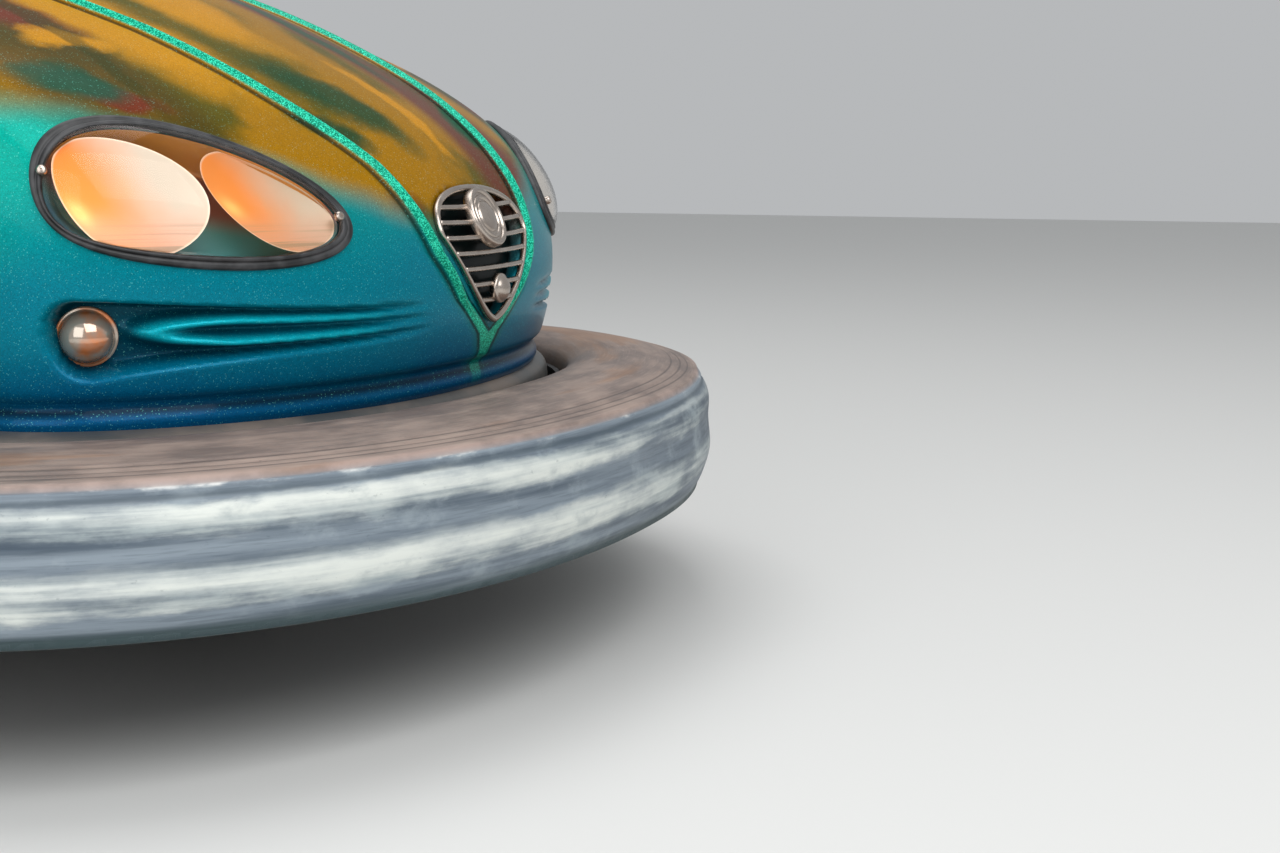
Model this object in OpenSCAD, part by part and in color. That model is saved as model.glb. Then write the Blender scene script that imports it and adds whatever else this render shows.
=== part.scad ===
// Bumper car: a two-seat fairground car with a rubber ring all round, a glass-fibre
// body, a steered driving wheel at the front, two plain wheels behind and a pole
// that reaches the ceiling net. The nose points along -Y and the floor is at z = 0.

/* [Rubber ring] */
// Length over the rubber ring
ring_len = 1900; // [1750:10:2100]
// Width over the rubber ring
ring_w = 1150; // [1080:10:1250]
// Height of the ring's underside above the floor
ring_low = 110; // [100:5:130]
// Height of the ring's outer face
ring_h = 117; // [105:1:130]
// Depth of the ring from its outer face to its rim
ring_depth = 150; // [140:2:158]
// Rise of the ring's crown above its outer edge
ring_crown = 14; // [6:1:20]

/* [Outline] */
// Length of the curved nose
nose_depth = 385; // [365:5:410]
// Length of the curved tail
tail_depth = 400; // [350:5:450]

/* [Body] */
// Distance from the ring's outer face to the body's lower edge
body_inset = 200; // [192:1:208]
// Thickness of the moulded body
shell_t = 6; // [4:1:9]
// Height of the cowl in front of the cockpit
cowl_h = 695; // [680:5:720]
// Height of the cockpit side
sill_h = 575; // [540:5:620]
// Height of the body behind the seat
back_h = 720; // [680:10:780]
// Height of the shoulder at the nose
nose_shoulder = 454; // [440:2:470]
// Height of the shoulder at the side
side_shoulder = 610; // [580:5:640]
// Height of the shoulder at the tail
tail_shoulder = 650; // [600:5:700]

/* [Cockpit] */
// Width of the side deck, from the ring's outer face to the cockpit opening
deck_w = 235; // [225:5:265]
// Distance of the cockpit opening behind the ring's nose
cockpit_back = 795; // [785:5:825]
// Distance of the cockpit opening in front of the ring's tail
cockpit_tail = 390; // [370:5:420]
// Radius of the rolled vinyl edge round the opening
trim_r = 13; // [9:1:18]

/* [Frame] */
// Height of the frame's underside
frame_low = 135; // [125:1:145]
// Depth of the frame tubes
frame_h = 50; // [40:2:60]
// Thickness of the floor plate
floor_t = 4; // [3:1:6]

/* [Driving unit] */
// Distance of the steering axis behind the ring's nose
drive_back = 450; // [440:5:465]
// Radius of the driving wheel
drive_r = 120; // [105:1:130]
// Width of the driving wheel
drive_w = 70; // [55:1:80]

/* [Rear wheels] */
// Distance of the rear axle in front of the ring's tail
rear_in = 450; // [435:5:480]
// Distance of a rear wheel's middle from the ring's outer face
rear_side = 265; // [255:5:285]
// Radius of a rear wheel
rear_r = 85; // [75:1:90]
// Width of a rear wheel
rear_w = 48; // [36:1:56]

/* [Seat] */
// Gap between the seat and the cockpit's side
seat_gap = 30; // [15:5:70]
// Depth of the seat box
seat_d = 300; // [285:5:310]
// Height of the seat cushion's underside
seat_h = 370; // [340:5:400]
// Thickness of the cushions
cushion_t = 75; // [60:5:90]

/* [Steering] */
// Radius of the steering wheel
wheel_r = 165; // [150:1:185]
// Thickness of the steering wheel's grip
grip_r = 14; // [11:1:17]
// Slope of the steering column from the level
column_slope = 28; // [26:1:30]

/* [Pole] */
// Height of the pole's contact bow
pole_h = 2550; // [2300:50:2800]
// Radius of the pole
pole_r = 17; // [14:1:22]
// Distance of the pole in front of the ring's tail
pole_in = 310; // [300:5:320]

/* [Lamps] */
// Length of a headlamp cover
lamp_len = 255; // [235:5:265]
// Height of a headlamp cover
lamp_h = 113; // [105:1:120]
// Radius of a fog lamp
fog_r = 21; // [17:1:24]

/* [Hidden] */
$fn = 64;
eps = 0.3;

// Places along the car.
drive_y = -ring_len / 2 + drive_back;
cockpit_front = -ring_len / 2 + cockpit_back;
cockpit_rear = ring_len / 2 - cockpit_tail;
rear_y = ring_len / 2 - rear_in;
pole_y = ring_len / 2 - pole_in;
seat_rear = cockpit_rear - 110;
seat_front = seat_rear - seat_d;

// Places across the car.
cockpit_w = ring_w - 2 * deck_w;
rear_track = ring_w - 2 * rear_side;
seat_w = cockpit_w - 2 * seat_gap;

// The plan outline: a squared oval, nose at 90 degrees, tail at 270, sides straight.
nose_px = 2.2;
nose_py = 1.77;
tail_px = 2.8;
tail_py = 2.4;
function spow(v, e) = v == 0 ? 0 : sign(v) * pow(abs(v), e);
function turn(a) = a - 360 * floor((a + 30) / 360);
function oval(a, hw, y_nose, y_tail, dn, dt) = let (
        q = turn(a),
        yn = y_nose + dn,
        yt = y_tail - dt)
    q < 30 ? [hw, yt + (yn - yt) * (q + 30) / 60] :
    q < 150 ? let (t = (q - 30) * 1.5)
        [hw * spow(cos(t), 2 / nose_px), yn - dn * pow(max(0, sin(t)), 2 / nose_py)] :
    q < 210 ? [-hw, yn + (yt - yn) * (q - 150) / 60] :
    let (t = (q - 210) * 1.5)
        [-hw * spow(cos(t), 2 / tail_px), yt + dt * pow(max(0, sin(t)), 2 / tail_py)];
function plan(a, inset) = oval(a, ring_w / 2 - inset, -ring_len / 2 + inset,
    ring_len / 2 - inset, nose_depth - inset, tail_depth - inset);

// A smooth change round the outline between the values at the nose, side and tail.
function round_value(a, nose, side, tail, sharp) = side
    + (nose - side) * pow(max(0, sin(a)), sharp)
    + (tail - side) * pow(max(0, -sin(a)), sharp);

// The cockpit's edge.
rim_nose = 370;
rim_tail = 150;
function rim(a, out = 0) = oval(a, cockpit_w / 2 + out, cockpit_front - out,
    cockpit_rear + out, rim_nose + out, rim_tail + out);
function rim_z(a) = round_value(a, cowl_h, sill_h, back_h, 2.2);

// Levels of the frame and the floor.
frame_top = frame_low + frame_h;
floor_top = frame_top + floor_t;
body_low = floor_top + eps;

// The body's skin: at each angle a smooth curve from the lower edge over the shoulder
// to the cockpit's edge. a goes round the car, v from 0 at the bottom to 1 at the edge.
function up(p, z) = [p[0], p[1], z];
function bezier(p, q, r, s, v) =
    pow(1 - v, 3) * p + 3 * pow(1 - v, 2) * v * q + 3 * (1 - v) * v * v * r + pow(v, 3) * s;
shoulder_in_nose = -159;
shoulder_in_side = 6;
shoulder_in_tail = 40;
fullness = 0.81;
function skin(a, v, out = 0) = let (
        p = up(plan(a, body_inset - out), body_low),
        si = round_value(a, shoulder_in_nose, shoulder_in_side, shoulder_in_tail, 1.5),
        s = up(plan(a, body_inset + si - out),
            round_value(a, nose_shoulder, side_shoulder, tail_shoulder, 4) + out),
        c = up(rim(a), rim_z(a) + out))
    bezier(p, p + (s - p) * fullness, c + (s - c) * fullness, c, v);
function unit(w) = w / norm(w);
function skin_normal(a, v) = unit(cross(
    skin(a, v + 0.01) - skin(a, v - 0.01), skin(a + 1, v) - skin(a - 1, v)));
// Millimetres of skin per degree and per unit of v at a place.
function run_a(a, v) = norm(skin(a + 1, v) - skin(a - 1, v)) / 2;
function run_v(a, v) = norm(skin(a, v + 0.01) - skin(a, v - 0.01)) / 0.02;

// Features lie on the skin in millimetres from a centre [angle, height]: x forwards
// round the nose, y up, lift outwards.
lamp_at = [61, 0.337];
fog_at = [47, 0.14];
grille_at = [90, 0.292];
tail_lamp_at = [232, 0.40];
function on_skin(at, x, y, lift) = let (
        a = at[0] + x / run_a(at[0], at[1]),
        v = at[1] + y / run_v(at[0], at[1]))
    skin(a, v) + skin_normal(a, v) * lift;

// A headlamp's outline is a leaning egg, tipped against the fall of the skin's lines.
lamp_tip = -9.3;
lamp_taper = -0.16;
lamp_bow = -7.5;
lamp_skew = -4.8;
function tipped(x, y) = [x * cos(lamp_tip) + y * sin(lamp_tip), y * cos(lamp_tip) - x * sin(lamp_tip)];
function egg(t, grow = 0) = tipped(
    (lamp_len / 2 + grow) * cos(t) + lamp_skew * sin(2 * t),
    (lamp_h / 2 + grow) * sin(t) * (1 - lamp_taper * cos(t)) + lamp_bow * cos(2 * t));
lamp_sink = 40;
function smooth(lo, hi, x) = let (t = min(1, max(0, (x - lo) / (hi - lo)))) t * t * (3 - 2 * t);

// The fog lamp's recess is a long pocket, deepest at the lamp behind and running out
// towards the nose: fog_span degrees long, climbing by fog_climb of the skin's height.
fog_span = 33;
fog_climb = 0.052;
fog_h = 62;
fog_sink = 24;
function fog_depth(a, v) = let (
        u = (a - fog_at[0]) / fog_span,
        half = fog_h / 2 / run_v(fog_at[0], fog_at[1]) * (1 - 0.4 * max(0, u)),
        w = abs(v - fog_at[1] - fog_climb * u) / half)
    fog_sink * (1 - smooth(0.55, 1, w)) * smooth(-0.16, 0, u) * (1 - smooth(0.3, 1.05, u));

// How deep the skin is pressed in at a place.
function fold(a) = let (q = turn(a)) q > 90 ? 180 - q : q;
function pressed(a, v) = v > 0.3 || fold(a) < fog_at[0] - 0.2 * fog_span ? 0 : fog_depth(fold(a), v);

// A closed panel between two grids of points, rows by columns.
module panel(outer, inner) {
    rows = len(outer);
    cols = len(outer[0]);
    n = rows * cols;
    pts = [for (g = [outer, inner]) for (r = g) for (p = r) p];
    function id(r, c) = r * cols + c;
    faces = [
        for (r = [0 : rows - 2]) for (c = [0 : cols - 2]) each [
            [id(r, c), id(r + 1, c + 1), id(r + 1, c)],
            [id(r, c), id(r, c + 1), id(r + 1, c + 1)],
            [n + id(r, c), n + id(r + 1, c), n + id(r + 1, c + 1)],
            [n + id(r, c), n + id(r + 1, c + 1), n + id(r, c + 1)]],
        for (c = [0 : cols - 2]) each [
            [id(0, c), n + id(0, c + 1), id(0, c + 1)],
            [id(0, c), n + id(0, c), n + id(0, c + 1)],
            [id(rows - 1, c + 1), n + id(rows - 1, c), id(rows - 1, c)],
            [id(rows - 1, c + 1), n + id(rows - 1, c + 1), n + id(rows - 1, c)]],
        for (r = [0 : rows - 2]) each [
            [id(r + 1, 0), n + id(r, 0), id(r, 0)],
            [id(r + 1, 0), n + id(r + 1, 0), n + id(r, 0)],
            [id(r, cols - 1), n + id(r, cols - 1), id(r + 1, cols - 1)],
            [n + id(r, cols - 1), n + id(r + 1, cols - 1), id(r + 1, cols - 1)]]];
    polyhedron(pts, faces);
}

// A closed bar of one section swept round a loop: sections is a list of closed rings.
module loop_bar(sections) {
    rows = len(sections);
    cols = len(sections[0]);
    pts = [for (r = sections) for (p = r) p];
    function id(r, c) = (r % rows) * cols + (c % cols);
    faces = [for (r = [0 : rows - 1]) for (c = [0 : cols - 1]) each [
        [id(r, c), id(r + 1, c), id(r + 1, c + 1)],
        [id(r, c), id(r + 1, c + 1), id(r, c + 1)]]];
    polyhedron(pts, faces);
}

// A dome or disc on a closed outline: rings of points from the middle outwards.
module cap(top, bottom) {
    rings = len(top);
    cols = len(top[0]);
    n = rings * cols;
    pts = [for (g = [top, bottom]) for (r = g) for (p = r) p];
    function id(r, c) = r * cols + (c % cols);
    faces = [
        [for (c = [0 : cols - 1]) c],
        for (r = [0 : rings - 2]) for (c = [0 : cols - 1]) each [
            [id(r, c), id(r + 1, c + 1), id(r, c + 1)],
            [id(r, c), id(r + 1, c), id(r + 1, c + 1)],
            [n + id(r, c), n + id(r, c + 1), n + id(r + 1, c + 1)],
            [n + id(r, c), n + id(r + 1, c + 1), n + id(r + 1, c)]],
        for (c = [0 : cols - 1]) each [
            [id(rings - 1, c), n + id(rings - 1, c + 1), id(rings - 1, c + 1)],
            [id(rings - 1, c), n + id(rings - 1, c), n + id(rings - 1, c + 1)]],
        [for (c = [0 : cols - 1]) n + cols - 1 - c]];
    polyhedron(pts, faces);
}

// Rubber ring and its steel rim.
ring_steps = 96;
rim_t = 6;
ring_profile = [
    [20, 0], [5, 14], [0, ring_h * 0.42], [1, ring_h * 0.72], [6, ring_h - 8], [14, ring_h],
    [ring_depth * 0.42, ring_h + ring_crown * 0.75], [ring_depth * 0.76, ring_h + ring_crown],
    [ring_depth - 14, ring_h + ring_crown * 0.6], [ring_depth, ring_h - 6],
    [ring_depth, 16], [ring_depth - 16, 0]];
module bumper_ring() {
    color([0.33, 0.38, 0.40])
        loop_bar([for (k = [0 : ring_steps - 1]) let (a = k * 360 / ring_steps)
            [for (p = ring_profile) up(plan(a, p[0]), ring_low + p[1])]]);
}
rim_low = 18;
rim_top = ring_h - 14;
module ring_rim() {
    sections = [for (k = [0 : ring_steps - 1]) let (a = k * 360 / ring_steps)
        [for (p = [[eps, rim_low], [eps, rim_top], [rim_t, rim_top], [rim_t, rim_low]])
            up(plan(a, ring_depth + p[0]), ring_low + p[1])]];
    color([0.22, 0.22, 0.23]) loop_bar(sections);
}

// Welded frame: two side rails and cross members inside the rim, with the drive
// wheel's well left open in front.
rail_x = 225;
rail_w = 40;
well_r = drive_r + 95;
rim_in = ring_depth + rim_t + eps;
rail_end_gap = 4;
function plan_y(x, inset, nose) = let (
        hw = ring_w / 2 - inset,
        s = pow(max(0, 1 - pow(x / hw, nose ? nose_px : tail_px)), 1 / (nose ? nose_py : tail_py)))
    nose ? -ring_len / 2 + nose_depth - (nose_depth - inset) * s
        : ring_len / 2 - tail_depth + (tail_depth - inset) * s;
rail_nose = plan_y(rail_x + rail_w / 2, rim_in, true) + rail_end_gap;
rail_tail = plan_y(rail_x + rail_w / 2, rim_in, false) - rail_end_gap;
// Cross members: [place along the car, half width].
cross_front = rail_nose + rail_w / 2;
cross_mid = drive_y + well_r + rail_w / 2 + 12;
cross_seat = seat_front;
cross_half = ring_w / 2 - rim_in;
cross = [[cross_front, rail_x], [cross_mid, cross_half], [cross_seat, cross_half],
    [rear_y - rear_r - rail_w, cross_half], [rear_y + rear_r + rail_w, rail_x]];
tie_x = 150;
tie_r = 6.5;
module chassis_frame() {
    color([0.20, 0.20, 0.21]) difference() {
        translate([0, 0, frame_low]) {
            for (s = [-1, 1]) translate([s * rail_x - rail_w / 2, rail_nose, 0])
                cube([rail_w, rail_tail - rail_nose, frame_h]);
            for (c = cross) translate([-c[1], c[0] - rail_w / 2, 0]) cube([2 * c[1], rail_w, frame_h]);
        }
        for (x = [-tie_x, tie_x]) for (y = [cross_mid, cross_seat])
            translate([x, y, frame_low - 1]) cylinder(r = tie_r, h = frame_h + 2);
    }
}

// Floor plate on the frame, cut out for the driving unit and the rear wheels.
well_gap = 4;
module floor_plate() {
    z = frame_top;
    n = 96;
    color([0.30, 0.31, 0.32]) difference() {
        translate([0, 0, z]) linear_extrude(floor_t)
            polygon([for (k = [0 : n - 1]) plan(k * 360 / n, rim_in)]);
        translate([0, drive_y, z - 1]) cylinder(r = well_r, h = floor_t + 2);
        for (s = [-1, 1])
            translate([s * rear_track / 2 - rear_w / 2 - well_gap, rear_y - rear_r, z - 1])
                cube([rear_w + 2 * well_gap, 2 * rear_r, floor_t + 2]);
    }
}

// Bridge over the driving unit: four posts and a plate with the steering bearing.
bridge_z = 2 * drive_r + 48;
bridge_t = 10;
bearing_h = 44;
king_r = 25;
run_gap = 0.05;
post = 36;
post_x = 190;
post_y = 165;
module drive_bridge() {
    color([0.20, 0.20, 0.21]) translate([0, drive_y, 0]) difference() {
        union() {
            for (x = [-post_x, post_x]) for (y = [-post_y, post_y])
                translate([x - post / 2, y - post / 2, floor_top]) cube([post, post, bridge_z - floor_top]);
            translate([-post_x - post / 2, -post_y - post / 2, bridge_z])
                cube([2 * post_x + post, 2 * post_y + post, bridge_t]);
            translate([0, 0, bridge_z]) cylinder(r = king_r + 22, h = bearing_h);
        }
        translate([0, 0, bridge_z - 1]) cylinder(r = king_r + run_gap, h = bearing_h + 2);
    }
}

// Body mouldings.
front_steps = 60;
rear_steps = 40;
skin_rows = 22;
seam = 0.15;
module body_front() {
    angles = [for (k = [0 : front_steps]) k * 180 / front_steps];
    rows = [for (r = [0 : skin_rows]) r / skin_rows];
    function shell(out) = [for (v = rows) [for (a = angles)
        skin(a, v, out) - skin_normal(a, min(0.99, max(0.01, v))) * pressed(a, v)]];
    color([0.05, 0.42, 0.46]) difference() {
        panel(shell(0), shell(-shell_t));
        for (side = [-1, 1]) mirrored(side) {
            lamp_plug();
            fog_axis(-fog_reach) cylinder(r = fog_barrel + eps, h = 2 * fog_reach);
        }
    }
}
module body_rear() {
    angles = [for (k = [0 : rear_steps]) 180 + seam + k * (180 - 2 * seam) / rear_steps];
    rows = [for (r = [0 : skin_rows]) r / skin_rows];
    color([0.05, 0.42, 0.46]) difference() {
        panel([for (v = rows) [for (a = angles) skin(a, v)]],
            [for (v = rows) [for (a = angles) skin(a, v, -shell_t)]]);
        translate([0, pole_y, seat_h]) cylinder(r = socket_r + eps, h = back_h);
    }
}

// Liner inside the cockpit: straight walls beside the legs and a rounded back, from
// below the edge down to the floor.
liner_t = 4;
liner_gap = 1;
liner_drop = 24;
liner_steps = 44;
foot_y = cockpit_front - 100;
leg_top = sill_h - shell_t - 4;
function liner_edge(k, out) = k == 0 ? [-cockpit_w / 2 - out, foot_y] :
    k == liner_steps ? [cockpit_w / 2 + out, foot_y] :
    rim(150 + (k - 1) * 240 / (liner_steps - 2), out);
function liner_top(k) = k == 0 || k == liner_steps ? leg_top :
    let (a = 150 + (k - 1) * 240 / (liner_steps - 2)) sin(a) > 0 ? leg_top : rim_z(a) - liner_drop;
module cockpit_liner() {
    z0 = floor_top + eps;
    color([0.12, 0.13, 0.14]) panel(
        [for (f = [0, 1]) [for (k = [0 : liner_steps])
            up(liner_edge(k, liner_gap + liner_t), z0 + f * (liner_top(k) - z0))]],
        [for (f = [0, 1]) [for (k = [0 : liner_steps])
            up(liner_edge(k, liner_gap), z0 + f * (liner_top(k) - z0))]]);
}

// Dash: an upright board whose arched top follows the hood's underside, a shelf and
// the foot wall.
dash_y = cockpit_front - 50;
dash_low = 400;
dash_t = 5;
dash_gap = 2;
dash_arc = 20;
// Share of the way up the skin's curve at angle a at which it reaches a place along the car.
function reach(a, y, lo, hi, n) = let (mid = (lo + hi) / 2)
    n == 0 ? mid : skin(a, mid, -shell_t - dash_gap)[1] < y ? reach(a, y, mid, hi, n - 1) : reach(a, y, lo, mid, n - 1);
module dash_panel() {
    z0 = floor_top + eps;
    half = cockpit_w / 2 + liner_gap - eps;
    arch = [for (k = [0 : dash_arc]) let (
        a = 90 - 60 * cos(k * 180 / dash_arc),
        p = skin(a, reach(a, dash_y, 0.3, 1, 14), -shell_t - dash_gap)) [p[0], p[2]]];
    color([0.12, 0.13, 0.14]) difference() {
        union() {
            translate([0, dash_y + dash_t, 0]) rotate([90, 0, 0]) linear_extrude(dash_t)
                polygon(concat([[half, dash_low - dash_t]], [for (p = arch) if (abs(p[0]) < half) p],
                    [[-half, dash_low - dash_t]]));
            translate([-half, foot_y, dash_low - dash_t]) cube([2 * half, dash_y - foot_y + dash_t, dash_t]);
            translate([-half, foot_y, z0]) cube([2 * half, dash_t, dash_low - z0]);
        }
        column_axis() translate([0, 0, jacket_from]) cylinder(r = jacket_r, h = -jacket_from);
    }
}

// Rolled vinyl edge round the cockpit.
trim_steps = 72;
module cockpit_trim() {
    sides = 10;
    color([0.08, 0.08, 0.09]) loop_bar([for (k = [0 : trim_steps - 1])
        let (a = k * 360 / trim_steps, c = up(rim(a, -trim_r - eps), rim_z(a) + 2),
            o = unit(up(rim(a, 10) - rim(a, 0), 0)))
        [for (j = [0 : sides - 1]) let (t = j * 360 / sides)
            c + o * trim_r * cos(t) + [0, 0, trim_r * sin(t)]]]);
}

// Headlamps: a dish in a hole of the body, two reflectors, a clear cover and a rubber seal.
lamp_steps = 36;
cover_t = 3;
cover_rise = 11;
seal_w = 7;
seal_in = 3;
hole_in = 4;
bowl_t = 3;
turns = [for (j = [0 : lamp_steps - 1]) j * 360 / lamp_steps];
function egg_ring(k, lift, grow) = [for (t = turns) let (e = egg(t, grow)) on_skin(lamp_at, e[0] * k, e[1] * k, lift)];
module lamp_plug() {
    cap([for (k = [0.3, 1]) egg_ring(k, 30, -hole_in)], [for (k = [0.3, 1]) egg_ring(k, -30, -hole_in)]);
}
module headlamp_cover() {
    rings = [0.15, 0.4, 0.65, 0.85, 1];
    function lift(k) = 2 + (cover_rise - 2) * (1 - k * k);
    color([0.9, 0.9, 0.9, 0.4]) cap(
        [for (k = rings) egg_ring(k, lift(k) + cover_t, -seal_in - eps)],
        [for (k = rings) egg_ring(k, lift(k), -seal_in - eps)]);
}
module headlamp_seal() {
    edges = [egg_ring(1, 1, -seal_in), egg_ring(1, 1, seal_w), egg_ring(1, 4, seal_w), egg_ring(1, 7, -seal_in)];
    color([0.10, 0.10, 0.11]) loop_bar([for (j = [0 : lamp_steps - 1]) [for (e = edges) e[j]]]);
}
module headlamp_bowl() {
    // Rings of the dish: [share of the outline, share of the depth].
    rings = [[0.2, 1], [0.6, 1], [0.9, 1], [0.97, 0.6], [1, 0.08]];
    color([0.16, 0.16, 0.17]) cap(
        [for (r = rings) egg_ring(r[0], -lamp_sink * r[1], -hole_in - bowl_t)],
        [for (r = rings) egg_ring(r[0], -lamp_sink * r[1] - bowl_t, -hole_in - 2 * eps)]);
}
// Reflectors: [place along the lamp, place up, half length, half height, lean].
reflectors = [[-38, 5, 60, 39, 14], [72, 0, 43, 33, -35]];
reflector_rise = 30;
module headlamp_reflectors() {
    rings = [0.2, 0.5, 0.8, 1];
    function ring(r, k, lift) = [for (t = [0 : 15 : 345])
        let (x = k * r[2] * cos(t), y = k * r[3] * sin(t),
            e = tipped(r[0] + x * cos(r[4]) - y * sin(r[4]), r[1] + x * sin(r[4]) + y * cos(r[4])))
        on_skin(lamp_at, e[0], e[1], lift)];
    color([0.85, 0.80, 0.70]) for (r = reflectors)
        cap([for (k = rings) ring(r, k, -lamp_sink + 3.2 + reflector_rise * (k * k - 0.04))],
            [for (k = rings) ring(r, k, -lamp_sink + 0.7 + reflector_rise * (k * k - 0.04))]);
}

// Fog lamp: a round lamp through the body at the rear end of its recess.
fog_barrel = fog_r + 2;
fog_reach = 40;
module along(p, w) {
    translate(p) rotate([0, acos(w[2]), atan2(w[1], w[0])]) children();
}
module fog_axis(lift) {
    along(on_skin(fog_at, 0, 0, lift), skin_normal(fog_at[0], fog_at[1])) children();
}
module fog_lamp() {
    color([0.75, 0.70, 0.62]) fog_axis(-fog_sink - 14) {
        cylinder(r = fog_barrel, h = 24);
        translate([0, 0, 24]) intersection() {
            sphere(r = fog_r);
            cylinder(r = fog_r + 1, h = fog_r + 1);
        }
    }
}

// Grille: a shield frame with bars, on the nose.
grille_w = 196;
grille_h = 118;
grille_t = 5;
bezel = 6;
bars = 7;
bar_half = 2.1;
// Half width of the shield at a height from -1 at the tip to 1 at the top.
function shield(h) = grille_w / 2 * pow(max(0, 1 - pow(max(0, h - 0.28) / 0.72, 2.4)), 0.5)
    * (h > 0.28 ? 1 : pow(max(0, (h + 1) / 1.28), 0.66));
shield_steps = 24;
function shield_edge(grow) = concat(
    [for (k = [0 : shield_steps]) let (t = k * 180 / shield_steps, h = -cos(t))
        [(shield(h) + grow) * (k == 0 || k == shield_steps ? 0 : 1), h * (grille_h / 2 + grow)]],
    [for (k = [1 : shield_steps - 1]) let (t = 180 - k * 180 / shield_steps, h = -cos(t))
        [-(shield(h) + grow), h * (grille_h / 2 + grow)]]);
module grille() {
    edge_out = shield_edge(0);
    edge_in = shield_edge(-bezel);
    n = len(edge_out);
    pitch = 2 * (grille_h / 2 - bezel) / (bars + 1);
    color([0.72, 0.70, 0.66]) {
        loop_bar([for (k = [0 : n - 1])
            [on_skin(grille_at, edge_out[k][0], edge_out[k][1], 1),
                on_skin(grille_at, edge_out[k][0], edge_out[k][1], 1 + grille_t),
                on_skin(grille_at, edge_in[k][0], edge_in[k][1], 1 + grille_t),
                on_skin(grille_at, edge_in[k][0], edge_in[k][1], 1)]]);
        for (b = [1 : bars]) {
            y = -grille_h / 2 + bezel + b * pitch;
            x = shield(y / (grille_h / 2)) - bezel / 2;
            m = 8;
            panel([for (r = [-1, 1]) [for (k = [0 : m]) on_skin(grille_at, -x + 2 * x * k / m, y + r * bar_half, 6)]],
                [for (r = [-1, 1]) [for (k = [0 : m]) on_skin(grille_at, -x + 2 * x * k / m, y + r * bar_half, 2)]]);
        }
    }
}
medallion_at = 29;
medallion_r = 27;
module grille_medallion() {
    steps = 32;
    function disc(lift) = [for (k = [0.3, 1]) [for (j = [0 : steps - 1]) let (t = j * 360 / steps)
        on_skin(grille_at, k * medallion_r * cos(t), medallion_at + k * medallion_r * sin(t), lift)]];
    color([0.70, 0.67, 0.62]) cap(disc(10), disc(6.5));
}
boss_at = -31;
boss_r = 12.5;
module grille_boss() {
    v = grille_at[1] + boss_at / run_v(grille_at[0], grille_at[1]);
    color([0.75, 0.73, 0.70]) along(on_skin(grille_at, 0, boss_at, 6.6), skin_normal(grille_at[0], v)) {
        cylinder(r = boss_r, h = 3);
        translate([0, 0, 3 - boss_r]) intersection() {
            sphere(r = boss_r * sqrt(2));
            translate([0, 0, boss_r - 1]) cylinder(r = boss_r, h = boss_r);
        }
    }
}

// Tail lamps: round lenses on the tail.
tail_lamp_r = 42;
module tail_lamp() {
    steps = 32;
    rings = [0.2, 0.6, 0.85, 1];
    color([0.65, 0.08, 0.06]) cap(
        [for (k = rings) [for (j = [0 : steps - 1]) let (t = j * 360 / steps)
            on_skin(tail_lamp_at, k * tail_lamp_r * cos(t), k * tail_lamp_r * sin(t), 6 + 12 * (1 - k * k))]],
        [for (k = rings) [for (j = [0 : steps - 1]) let (t = j * 360 / steps)
            on_skin(tail_lamp_at, k * tail_lamp_r * cos(t), k * tail_lamp_r * sin(t), 1)]]);
}

// Seat: a moulded box with a back, and two padded cushions.
seat_wall = 5;
back_lean = 45;
seat_step = 60;
back_w = seat_w - 2 * seat_step;
back_low = seat_h - 30;
back_top = back_h - 40;
board_t = 12;
module rounded_pad(w, d, h, r) {
    hull() for (x = [-1, 1]) for (y = [-1, 1]) for (z = [-1, 1])
        translate([x * (w / 2 - r), y * (d / 2 - r), z * (h / 2 - r)]) sphere(r = r, $fn = 16);
}
module seat_box() {
    z0 = floor_top + eps;
    color([0.14, 0.15, 0.16]) {
        difference() {
            translate([-seat_w / 2, seat_front, z0]) cube([seat_w, seat_rear - seat_front, seat_h - z0]);
            translate([-seat_w / 2 + seat_wall, seat_front + seat_wall, z0 - 1])
                cube([seat_w - 2 * seat_wall, seat_rear - seat_front - 2 * seat_wall, seat_h - z0 - seat_wall + 1]);
        }
        translate([-back_w / 2, 0, 0]) rotate([90, 0, 90]) linear_extrude(back_w) polygon([
            [seat_rear, back_low], [seat_rear + back_lean, back_top],
            [seat_rear + back_lean - board_t, back_top], [seat_rear - board_t, back_low]]);
    }
}
module seat_cushion() {
    d = seat_rear - seat_front - 24;
    color([0.10, 0.10, 0.11]) translate([0, seat_front + d / 2 + 2, seat_h + cushion_t / 2 + eps])
        rounded_pad(seat_w - 12, d, cushion_t, 24);
}
module seat_back_cushion() {
    rise = back_h - 50 - seat_h - cushion_t;
    lean = atan2(back_lean, back_top - back_low);
    color([0.10, 0.10, 0.11]) translate([0, seat_rear - board_t, back_low]) rotate([-lean, 0, 0])
        translate([0, -cushion_t / 2 - eps, seat_h - back_low + cushion_t + 12 + rise / 2])
            rounded_pad(back_w, cushion_t, rise, 24);
}

// Accelerator pedal on the floor.
module pedal() {
    z0 = floor_top + eps;
    color([0.45, 0.45, 0.46]) translate([-110, foot_y + 60, z0]) {
        translate([-35, 0, 0]) cube([70, 70, 6]);
        translate([-30, 2, 5]) rotate([28, 0, 0]) cube([60, 110, 6]);
        translate([-20, 60, 5]) cube([40, 8, 30]);
    }
}

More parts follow.
